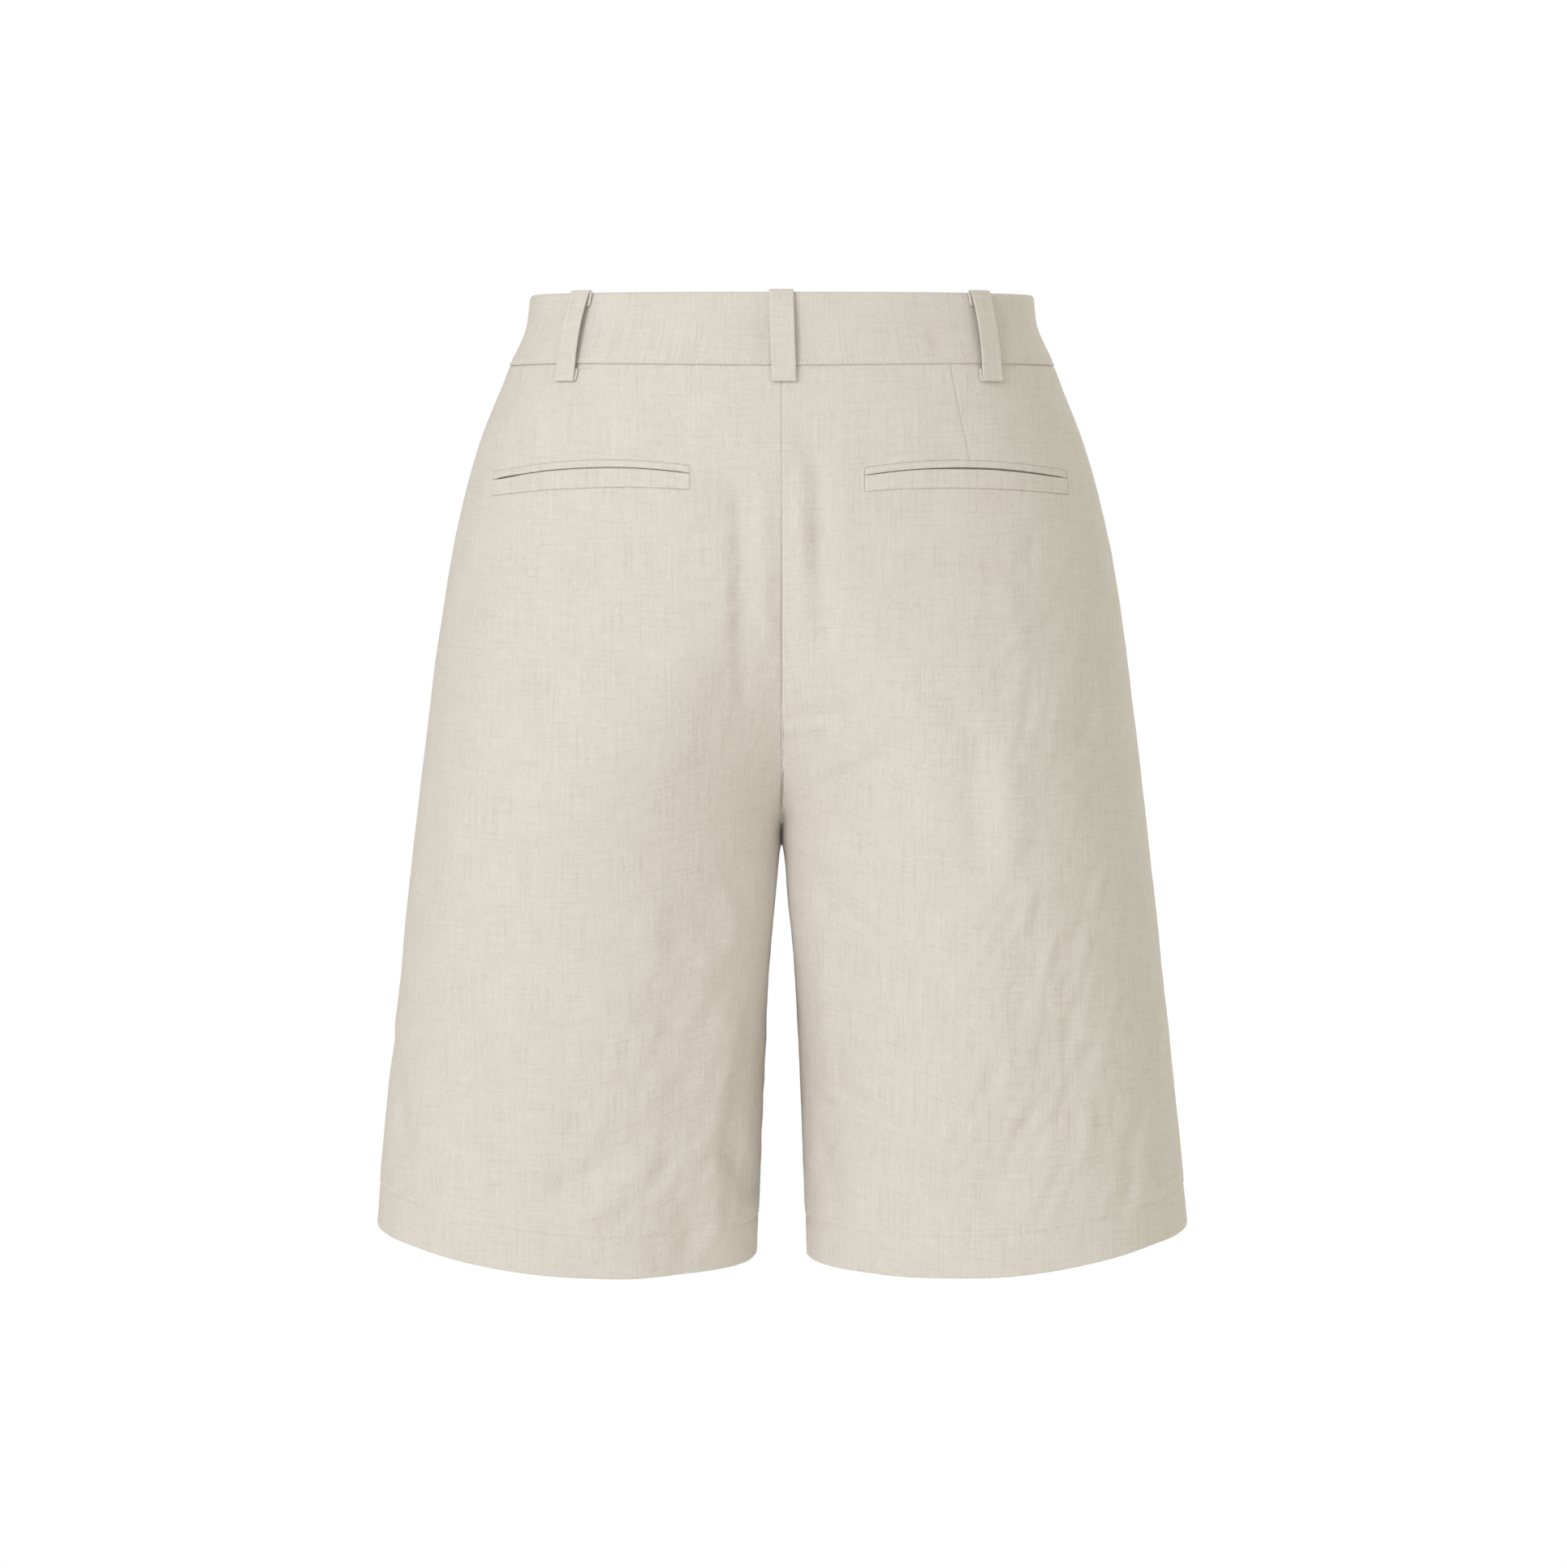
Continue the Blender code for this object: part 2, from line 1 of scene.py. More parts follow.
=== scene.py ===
"""Bermuda shorts in slubby oatmeal linen, filled out as they are worn, with nobody in them.

Every piece of cloth is a thin shell on the form of its CAD solid. The creases of the worn cloth
are laid in as soft troughs and ridges, over a fine crumple that linen always keeps. The
seams, the pocket windows, the darts, the topstitching and the closure are modelled on top.

Units are metres. +Z is up, the front with its fly faces -Y, the back faces +Y, and +X is the
wearer's left. Heights are measured from the middle of the waistband.
"""

import logging
import math
from collections.abc import Callable, Sequence
from dataclasses import dataclass, field
from enum import Enum
from typing import ClassVar

import bmesh
import bpy
import numpy as np
from mathutils import Matrix, Vector


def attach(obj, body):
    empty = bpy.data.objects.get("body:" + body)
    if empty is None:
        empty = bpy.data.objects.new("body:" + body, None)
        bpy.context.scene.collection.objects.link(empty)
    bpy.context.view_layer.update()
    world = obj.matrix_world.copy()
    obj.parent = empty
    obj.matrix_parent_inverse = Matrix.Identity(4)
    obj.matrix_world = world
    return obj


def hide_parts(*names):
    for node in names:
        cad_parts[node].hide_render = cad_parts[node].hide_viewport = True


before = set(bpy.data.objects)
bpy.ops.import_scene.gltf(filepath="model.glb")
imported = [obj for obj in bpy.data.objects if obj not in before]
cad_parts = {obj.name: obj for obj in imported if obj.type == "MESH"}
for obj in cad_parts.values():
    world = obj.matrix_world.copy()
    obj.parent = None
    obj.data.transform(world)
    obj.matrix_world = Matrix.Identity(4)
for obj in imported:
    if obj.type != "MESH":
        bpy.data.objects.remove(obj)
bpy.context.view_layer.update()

LOG = logging.getLogger("shorts")
Array = np.ndarray
Socket = bpy.types.NodeSocket
Tree = bpy.types.NodeTree
Values = dict[str | int, object]
MM = 0.001
WEAVE_MAP = "Weave"

# Heights of the form, and the slope of the hem.
WAISTBAND_HEIGHT = 38 * MM
WAIST_TOP = 19 * MM
WAIST_SEAM = -19 * MM
RISE_TOP = -70 * MM
CROTCH = -277 * MM
INNER_HEM = -512 * MM
HEM_SLOPE = 0.085
HEM_DEPTH = 26 * MM
LEG_GAP = 14.2 * MM
LEG_GAP_POWER = 0.56
# How flat the floor of the valley between the two sides is, at the top of the rise and the crotch.
VALLEY_FULLNESS = (3.0, 8.0)
# How an inner side falls away: how much it leans, and how sharp the corner is that closes it.
LEAN_SPREAD = 0.52
LEG_LEAN = 0.50
LEG_CORNER = (6.0, 3.2)
LEG_ROUNDED_AT = -420 * MM
# How close to the inseam the opening between the legs draws the cloth aside: at the hem, and how
# much closer at the crotch.
GAP_CLOSENESS = (6, 98)

# The back hems hang lower in the middle of each leg than at its seams.
HANG_START, HANG_END = 0.20, 0.90
HANG_FULLNESS = 1.3

# How far from a fine detail the panel's mesh is made finer.
FINE_REACH = 2.2 * MM


class Side(Enum):
    """The wearer's side of the garment, as the sign of its X."""

    LEFT = 1
    RIGHT = -1


class Face(Enum):
    """The back or the front of the garment, as the sign of its Y."""

    BACK = 1
    FRONT = -1


RISE_LEAN = {Face.BACK: 0.50, Face.FRONT: 0.25}
RISE_CORNER = {Face.BACK: 3.3, Face.FRONT: 3.6}
HEM_HANG = {Face.BACK: 7.3 * MM, Face.FRONT: 0.0}
# How much the waist seam rises between the middle of the back and its sides.
SEAM_LIFT = {Face.BACK: 0.9 * MM, Face.FRONT: 0.3 * MM}


def bell(distance: Array, width: Array | float) -> Array:
    """A soft bump: 1 at no distance, and next to nothing beyond twice its width."""
    return np.exp(-((distance / width) ** 2))


def lengths_along(points: Array) -> Array:
    """How far along a line each of its points lies, from 0 at the first."""
    return np.concatenate([[0], np.cumsum(np.linalg.norm(np.diff(points, axis=0), axis=1))])


def line_distances(
    x: Array, z: Array, start: tuple[float, float], end: tuple[float, float]
) -> tuple[Array, Array]:
    """Where places lie beside a straight line.

    Args:
        x: Distances from the middle, in metres.
        z: Heights, in metres.
        start: The line's start as x and z, in millimetres.
        end: The line's end, the same.

    Returns:
        Signed distances from the line, and how far past its ends, both in metres.
    """
    line_x, line_z = (end[0] - start[0]) * MM, (end[1] - start[1]) * MM
    length = math.hypot(line_x, line_z)
    from_x, from_z = x - start[0] * MM, z - start[1] * MM
    along = (from_x * line_x + from_z * line_z) / length
    aside = (from_x * line_z - from_z * line_x) / length
    return aside, np.maximum(np.maximum(-along, along - length), 0)


@dataclass(frozen=True)
class Level:
    """The half section of the garment at one height, all in metres but the last two."""

    height: float
    half_width: float
    back_depth: float
    front_depth: float
    flatness: float
    lobe: float


LEVELS = (
    Level(0.019, 0.1358, 0.0960, 0.0980, 0.22, 0.00),
    Level(0.004, 0.1376, 0.0990, 0.1002, 0.22, 0.00),
    Level(-0.019, 0.1476, 0.1040, 0.1035, 0.21, 0.00),
    Level(-0.060, 0.1640, 0.1105, 0.1070, 0.20, 0.00),
    Level(-0.100, 0.1755, 0.1160, 0.1090, 0.18, 0.16),
    Level(-0.140, 0.1832, 0.1210, 0.1095, 0.16, 0.40),
    Level(-0.180, 0.1893, 0.1235, 0.1090, 0.14, 0.66),
    Level(-0.220, 0.1950, 0.1220, 0.1080, 0.12, 0.88),
    Level(-0.277, 0.2021, 0.1150, 0.1050, 0.10, 1.00),
    Level(-0.340, 0.2096, 0.1060, 0.1010, 0.08, 1.00),
    Level(-0.420, 0.2183, 0.0950, 0.0950, 0.06, 1.00),
    Level(-0.512, 0.2276, 0.0850, 0.0880, 0.05, 1.00),
)


@dataclass(frozen=True)
class Crease:
    """A soft ridge (height above 0) or trough (below 0) along a line, all in millimetres.

    The line runs from (start_x, start_z) to (end_x, end_z), with x from the middle of the garment
    to the side, whichever side it is. Spread is its half width.
    """

    start_x: float
    start_z: float
    end_x: float
    end_z: float
    spread: float
    height: float

    def raised(self, x: Array, z: Array) -> Array:
        """How far the crease moves the cloth outwards.

        Args:
            x: Distances from the middle, in metres.
            z: Heights, in metres.

        Returns:
            The rise at each place, in metres.
        """
        start, end = (self.start_x, self.start_z), (self.end_x, self.end_z)
        aside, past_end = line_distances(x, z, start, end)
        spread = self.spread * MM
        return self.height * MM * np.exp(-(aside**2 + past_end**2) / spread**2)


# The large folds, as in the solids. Each row holds the fields of one Crease, in their order.
FOLDS = {
    (Side.LEFT, Face.BACK): (
        (24, -85, 24, -180, 11, -1.0), (32, -372, 50, -466, 10, 1.8),
        (112, -454, 76, -428, 12, -2.2), (170, -362, 156, -430, 13, -1.8),
        (140, -372, 135, -412, 18, 1.8), (66, -296, 66, -342, 11, 1.2),
    ),
    (Side.RIGHT, Face.BACK): (
        (16, -55, 19, -150, 9, -1.6), (20, -248, 60, -222, 12, -2.0),
        (93, -205, 94, -290, 14, -2.2), (108, -235, 107, -275, 10, 1.2),
        (115, -455, 152, -378, 14, -2.0), (60, -330, 70, -430, 24, 1.8),
        (94, -200, 100, -400, 34, 2.0), (166, -230, 176, -420, 34, -2.2),
    ),
    (Side.LEFT, Face.FRONT): (
        (30, -240, 85, -205, 14, -2.4), (100, -240, 104, -350, 20, 2.0),
        (70, -455, 120, -400, 14, -2.0),
    ),
    (Side.RIGHT, Face.FRONT): (
        (26, -250, 70, -222, 13, -2.0), (105, -210, 100, -300, 18, 2.0),
        (150, -440, 120, -370, 14, -1.8),
    ),
}

# The smaller creases between them, as rows of the same kind.
CREASES = {
    (Side.LEFT, Face.BACK): (
        (19, -91, 18, -152, 8.0, -2.1), (23, -93, 23, -138, 4.2, -1.0),
        (27, -98, 26, -190, 6.0, 0.8), (22, -152, 21, -192, 5.0, -1.0),
        (11, -81, 9, -148, 6.0, 1.3), (27, -372, 36, -435, 5.5, 1.8),
        (23, -404, 32, -439, 5.2, -1.0), (28, -300, 26, -326, 5.2, 1.0),
        (24, -285, 23, -298, 5.2, -0.6), (39, -330, 42, -353, 5.2, 0.9),
        (57, -320, 56, -333, 4.5, -0.6), (57, -350, 64, -381, 5.2, -0.9),
        (67, -366, 71, -383, 4.5, 0.9), (65, -305, 69, -320, 4.5, 0.8),
        (71, -296, 73, -309, 4.5, -0.6), (120, -456, 88, -442, 6, -1.2),
        (107, -471, 88, -462, 5.0, 1.4), (73, -459, 60, -443, 4.5, -1.4),
        (70, -464, 59, -450, 3.9, 0.6), (51, -466, 50, -490, 5.9, -1.4),
        (36, -451, 36, -484, 5.5, 2.0), (26, -442, 18, -467, 6.0, -2.0),
        (67, -484, 67, -497, 3.9, -0.6), (62, -488, 62, -502, 3.9, 0.5),
        (163, -383, 153, -434, 6.0, -1.5), (175, -385, 163, -428, 7.0, 1.1),
        (212, -388, 202, -447, 5.0, -1.1), (194, -430, 181, -450, 8.0, 1.0),
        (46, -430, 50, -512, 15, -1.2), (76, -425, 80, -505, 16.0, 1.3),
    ),
    (Side.RIGHT, Face.BACK): (
        (10, -72, 11, -145, 5.0, 1.5), (20, -75, 19, -123, 5.0, -1.1),
        (21, -104, 23, -159, 5.0, -1.4), (11, -150, 16, -156, 4.2, 1.4),
        (17, -161, 19, -165, 4.5, -1.0), (5, -184, 28, -180, 3.9, 0.4),
        (4, -194, 32, -190, 3.4, 0.6), (4, -203, 34, -199, 3.6, -0.6),
        (4, -208, 20, -206, 3.2, 0.5), (4, -217, 11, -215, 3.2, -0.5),
        (25, -239, 52, -222, 5.5, -1.5), (15, -235, 36, -220, 5.0, 0.7),
        (28, -255, 39, -265, 5.9, -0.9), (9, -270, 29, -280, 7.0, 1.7),
        (20, -296, 45, -314, 6.0, -1.5), (39, -408, 61, -421, 5.2, -0.8),
        (42, -402, 66, -415, 5.2, 0.5), (102, -218, 106, -278, 8.0, -2.5),
        (98, -243, 101, -275, 5.2, -0.8), (119, -228, 120, -271, 7.0, 1.4),
        (174, -283, 168, -301, 4.2, 1.0), (179, -287, 174, -303, 4.5, -0.6),
        (162, -324, 157, -336, 4.2, 0.9), (132, -294, 126, -312, 4.4, 1.0),
        (136, -301, 133, -315, 4.7, -0.8), (139, -333, 138, -344, 4.2, 0.6),
        (126, -344, 123, -359, 5.2, -0.8), (154, -365, 151, -377, 5.2, -0.8),
        (153, -380, 139, -405, 5.9, 1.1), (182, -344, 179, -352, 3.9, 0.6),
        (113, -383, 110, -409, 5.2, -0.9), (165, -419, 162, -439, 5.0, 1.3),
        (190, -431, 188, -462, 5.0, -1.4), (185, -462, 183, -473, 5.2, -0.9),
        (196, -411, 195, -424, 5.2, -0.6), (117, -134, 124, -171, 5.9, 0.8),
        (137, -129, 136, -139, 5.2, 0.6), (135, -142, 138, -152, 5.2, -0.5),
        (131, -108, 130, -120, 4.5, -0.5), (130, -178, 128, -205, 5.2, -0.6),
        (112, -178, 112, -189, 4.5, -0.5), (165, -173, 162, -211, 5.0, -1.0),
        (144, -190, 143, -196, 5.2, 0.6), (173, -193, 171, -204, 5.2, 0.6),
        (22, -437, 29, -474, 5.0, -1.4), (24, -342, 26, -408, 4.5, 0.6),
        (29, -339, 31, -402, 4.5, -0.6), (97, -433, 88, -451, 3.9, -0.5),
        (78, -427, 85, -449, 3.9, -0.3),
    ),
    (Side.LEFT, Face.FRONT): (
        (18, -205, 62, -188, 5.0, -1.5), (20, -222, 74, -212, 5.2, 0.9),
        (24, -262, 58, -262, 5.9, -1.0), (22, -290, 50, -304, 5.0, -1.1),
        (40, -320, 46, -362, 5.2, 0.8), (58, -352, 64, -388, 5.2, -0.8),
        (66, -372, 74, -402, 4.5, 0.6), (30, -388, 42, -452, 5.9, 1.4),
        (24, -404, 34, -446, 5.2, -0.9), (96, -448, 66, -434, 5.2, -1.4),
        (150, -330, 144, -366, 5.0, -1.1), (166, -392, 154, -436, 5.0, -1.4),
        (108, -140, 112, -190, 7.0, 0.8), (54, -100, 50, -160, 8.0, -0.7),
    ),
    (Side.RIGHT, Face.FRONT): (
        (16, -198, 58, -184, 5.9, -1.1), (20, -232, 80, -226, 5.2, 0.9),
        (26, -272, 60, -276, 5.9, -0.9), (24, -300, 44, -318, 5.0, -1.0),
        (46, -336, 50, -380, 5.2, 0.8), (34, -398, 46, -456, 5.9, 1.1),
        (26, -420, 36, -462, 5.2, -0.9), (88, -336, 84, -374, 5.2, -0.6),
        (128, -452, 100, -432, 5.2, -1.2), (142, -300, 138, -340, 5.2, 0.9),
        (160, -352, 152, -392, 5.9, -1.0), (186, -400, 180, -446, 5.0, -1.1),
        (112, -130, 118, -176, 7.0, 0.8), (60, -96, 58, -150, 8.0, -0.7),
    ),
}


@dataclass(frozen=True)
class WornArea:
    """A part of a panel where the cloth has wrinkled more in wear, in millimetres."""

    x: float
    z: float
    reach_x: float
    reach_z: float
    amount: float

    def strength(self, x: Array, z: Array) -> Array:
        """How much the area adds to the wrinkling at each place."""
        aside = (x / MM - self.x) / self.reach_x
        above = (z / MM - self.z) / self.reach_z
        return self.amount * np.exp(-(aside**2 + above**2))


# Each row holds the fields of one WornArea, in their order.
WORN_AREAS = {
    (Side.LEFT, Face.BACK): (
        (50, -385, 42, 85, 1.0), (60, -460, 60, 28, 0.6), (20, -140, 18, 60, 0.4),
        (190, -420, 40, 60, 0.25),
    ),
    (Side.RIGHT, Face.BACK): (
        (145, -340, 55, 90, 0.9), (110, -440, 80, 45, 0.7), (30, -215, 30, 45, 0.5),
        (135, -190, 45, 50, 0.5), (25, -400, 18, 90, 0.4),
    ),
    (Side.LEFT, Face.FRONT): (
        (45, -240, 45, 50, 0.8), (60, -400, 55, 70, 0.7), (150, -360, 45, 70, 0.4),
    ),
    (Side.RIGHT, Face.FRONT): (
        (45, -240, 45, 50, 0.8), (130, -370, 55, 80, 0.8), (50, -420, 40, 60, 0.5),
    ),
}


def seam_lift(x: Array, face: Face) -> Array:
    """How much higher the waist seam lies at x than at the middle and the sides."""
    share = np.clip(x / (147.6 * MM), -1, 1) ** 2
    return SEAM_LIFT[face] * 4 * share * (1 - share)


def falling(share: Array, lean: Array | float, corner: Array | float) -> Array:
    """A profile from 1 down to 0 that leans away at first and closes round a corner at the end."""
    slope = 1 - lean * np.log1p(LEAN_SPREAD * share**2) / LEAN_SPREAD
    return slope * np.maximum(1 - share**corner, 0) ** (1 / corner)


def smooth_step(share: Array) -> Array:
    """0 to 1 with level ends, held outside them."""
    share = np.clip(share, 0, 1)
    return share * share * (3 - 2 * share)


def linear(colour: str) -> tuple[float, float, float, float]:
    """An sRGB colour such as "#DDD6C8" as linear red, green, blue and alpha."""
    parts = [int(colour[at : at + 2], 16) / 255 for at in (1, 3, 5)]
    bent = [p / 12.92 if p <= 0.04045 else ((p + 0.055) / 1.055) ** 2.4 for p in parts]
    return (bent[0], bent[1], bent[2], 1.0)


class BodyForm:
    """The smooth form that the cloth hangs on: level sections, joined on smooth curves."""

    SHAPES = ("half_width", "back_depth", "front_depth", "flatness", "lobe")
    # Steps over which normals are measured: in shares of the width, and in height.
    STEP_ACROSS = 0.004
    STEP_DOWN = 0.4 * MM

    def __init__(self) -> None:
        """Read the table of levels and find the slope of each curve at each of them."""
        rows = sorted(LEVELS, key=lambda level: level.height)
        self.heights = np.array([row.height for row in rows])
        self.values = {name: np.array([getattr(row, name) for row in rows]) for name in self.SHAPES}
        self.slopes = {name: self._slopes(values) for name, values in self.values.items()}

    def _slopes(self, values: Array) -> Array:
        """Slopes that keep the curve from overshooting: 0 where its steps change sign."""
        steps = np.diff(values) / np.diff(self.heights)
        both = steps[:-1] * steps[1:]
        total = np.where(both > 0, steps[:-1] + steps[1:], 1)
        middle = np.where(both > 0, 2 * both / total, 0)
        return np.concatenate([steps[:1], middle, steps[-1:]])

    def shape(self, name: str, height: Array) -> Array:
        """One column of the table at any heights.

        Args:
            name: The column.
            height: Heights in metres.

        Returns:
            The column's value at each height.
        """
        at = np.clip(np.searchsorted(self.heights, height) - 1, 0, len(self.heights) - 2)
        span = self.heights[at + 1] - self.heights[at]
        t = (height - self.heights[at]) / span
        values, slopes = self.values[name], self.slopes[name]
        start = (2 * t**3 - 3 * t**2 + 1) * values[at] + (t**3 - 2 * t**2 + t) * span * slopes[at]
        end = (3 * t**2 - 2 * t**3) * values[at + 1] + (t**3 - t**2) * span * slopes[at + 1]
        return start + end

    def section(self, height: Array, face: Face) -> dict[str, Array]:
        """The measures of one leg's section at each height, as arrays by name."""
        width = self.shape("half_width", height)
        below = np.maximum((CROTCH - height) / (CROTCH - INNER_HEM), 0)
        gap = LEG_GAP * below**LEG_GAP_POWER
        crest_x = (self.shape("lobe", height) * width + LEG_GAP * below**2) / 2
        outer, inner = width - crest_x, crest_x - gap
        down = np.clip((RISE_TOP - height) / (RISE_TOP - CROTCH), 0, 1)
        rounded = smooth_step((CROTCH - height) / (CROTCH - LEG_ROUNDED_AT))
        return {
            "corner": LEG_CORNER[0] + (LEG_CORNER[1] - LEG_CORNER[0]) * rounded,
            "crest_x": crest_x,
            "gap": gap,
            "closeness": GAP_CLOSENESS[0] + GAP_CLOSENESS[1] * (1 - below) ** 8,
            "outer": outer,
            "inner": inner,
            "crest": outer / (outer + inner),
            "depth": self.shape("back_depth" if face is Face.BACK else "front_depth", height),
            "flatness": self.shape("flatness", height),
            "rise": falling(down, RISE_LEAN[face], RISE_CORNER[face]),
            "valley": VALLEY_FULLNESS[0] + (VALLEY_FULLNESS[1] - VALLEY_FULLNESS[0]) * down**2,
        }

    def point(self, height: Array, across: Array, face: Face) -> Array:
        """Points of the left side's cloth.

        Args:
            height: Heights in metres.
            across: 0 at the side seam, 1 at the centre seam or the inseam.
            face: The back or the front.

        Returns:
            One row of x, y, z for each pair of height and across.
        """
        height, across = np.broadcast_arrays(np.asarray(height, float), np.asarray(across, float))
        s = self.section(height, face)
        angle = np.pi / 2 * np.clip(across / s["crest"], 0, 1)
        outer_x = s["crest_x"] + s["outer"] * np.cos(angle)
        outer_y = s["depth"] * np.sin(angle) * (1 + s["flatness"] * np.cos(angle) ** 2)
        share = np.clip((across - s["crest"]) / np.maximum(1 - s["crest"], 1e-9), 0, 1)
        share = self._pulled(share, s)[0]
        inner_x = s["crest_x"] * (1 - share) + s["gap"] * share ** s["closeness"]
        seam = s["rise"] ** s["valley"]
        round_leg = falling(share, LEG_LEAN, s["corner"]) ** s["valley"]
        inner_y = s["depth"] * (round_leg * (1 - seam) + seam) ** (1 / s["valley"])
        outside = across <= s["crest"]
        x = np.where(outside, outer_x, inner_x)
        y = face.value * np.where(outside, outer_y, inner_y)
        return np.stack([x, y, height], axis=-1)

    def _pulled(self, share: Array, section: dict[str, Array]) -> tuple[Array, Array]:
        """Shares of the inner part's width at even steps along it, and how fast they change."""
        full, pull = section["corner"], 1 - section["rise"] ** 4
        lean, left = full - np.pi / 2, 1 - share
        turned = 1 - left**full * (1 + lean * share)
        turning = left ** (full - 1) * (full * (1 + lean * share) - lean * left)
        return share + pull * (turned - share), 1 + pull * (turning - 1)

    def across_at(self, x: Array, height: Array, face: Face) -> Array:
        """Where on its section a point above the crotch lies, from its distance from the middle."""
        s = self.section(height, face)
        cos = np.clip((x - s["crest_x"]) / s["outer"], -1, 1)
        outer = s["crest"] * np.arccos(cos) / (np.pi / 2)
        wanted = np.clip((s["crest_x"] - x) / np.maximum(s["inner"], 1e-9), 0, 1)
        share = wanted
        for _ in range(30):
            found, slope = self._pulled(share, s)
            share = np.clip(share - (found - wanted) / np.maximum(slope, 0.05), 0, 1)
        return np.where(x >= s["crest_x"], outer, s["crest"] + (1 - s["crest"]) * share)

    def _beyond(self, height: Array, across: Array, face: Face) -> Array:
        """Points that may lie past a seam, mirrored in the seam's plane."""
        over, under = across > 1, across < 0
        points = self.point(height, np.where(over, 2 - across, np.abs(across)), face)
        above = height > CROTCH
        points[..., 0] = np.where(over & above, -points[..., 0], points[..., 0])
        points[..., 1] = np.where((over & ~above) | under, -points[..., 1], points[..., 1])
        return points

    def normal(self, height: Array, across: Array, face: Face) -> Array:
        """Outward normals of the left side's cloth at the same places as point()."""
        height, across = np.broadcast_arrays(np.asarray(height, float), np.asarray(across, float))
        ahead = self._beyond(height, across + self.STEP_ACROSS, face)
        along = ahead - self._beyond(height, across - self.STEP_ACROSS, face)
        above, reach = height > CROTCH, self.STEP_DOWN
        upper = np.where(above, height + reach, np.minimum(height + reach, CROTCH))
        lower = np.where(above, np.maximum(height - reach, CROTCH + 1e-7), height - reach)
        down = self.point(lower, across, face) - self.point(upper, across, face)
        normal = -face.value * np.cross(along, down)
        return normal / np.linalg.norm(normal, axis=-1, keepdims=True)

    def seam_distance(self, height: Array, across: Array, face: Face) -> tuple[Array, Array]:
        """Straight distances at one height to the side seam and to the centre seam or inseam."""
        place = self.point(height, across, face)
        side = np.linalg.norm(place - self.point(height, 0.0, face), axis=-1)
        centre = np.linalg.norm(place - self.point(height, 1.0, face), axis=-1)
        return side, centre

    def frame_at(self, x: float, height: float, face: Face) -> tuple[Vector, Vector, Vector]:
        """A point of the form at x and a height, its outward normal and the level way along it."""
        side = -1 if x < 0 else 1
        across = self.across_at(np.array(abs(x)), np.array(height), face)
        point = self.point(height, across, face)
        normal = self.normal(height, across, face)
        flip = np.array([side, 1, 1])
        out = Vector((normal * flip).tolist()).normalized()
        along = Vector((0, 0, 1)).cross(out).normalized() * -face.value
        return Vector((point * flip).tolist()), out, along

    def band(self, height: Array, angle: Array, face: Face, offset: Array) -> Array:
        """Points of the waistband, at an angle from the left side seam, moved level outwards."""
        height, angle, offset = np.broadcast_arrays(height, angle, offset)
        width = self.shape("half_width", height)
        depth = self.shape("back_depth" if face is Face.BACK else "front_depth", height)
        flat = self.shape("flatness", height)
        cos, sin = np.cos(angle), np.sin(angle)
        x, y = width * cos, depth * sin * (1 + flat * cos**2)
        turn_x = -width * sin
        turn_y = depth * (cos * (1 + flat * cos**2) - 2 * flat * cos * sin**2)
        length = np.hypot(turn_x, turn_y)
        x = x + turn_y / length * offset
        y = y - turn_x / length * offset
        return np.stack([x, face.value * y, height], axis=-1)


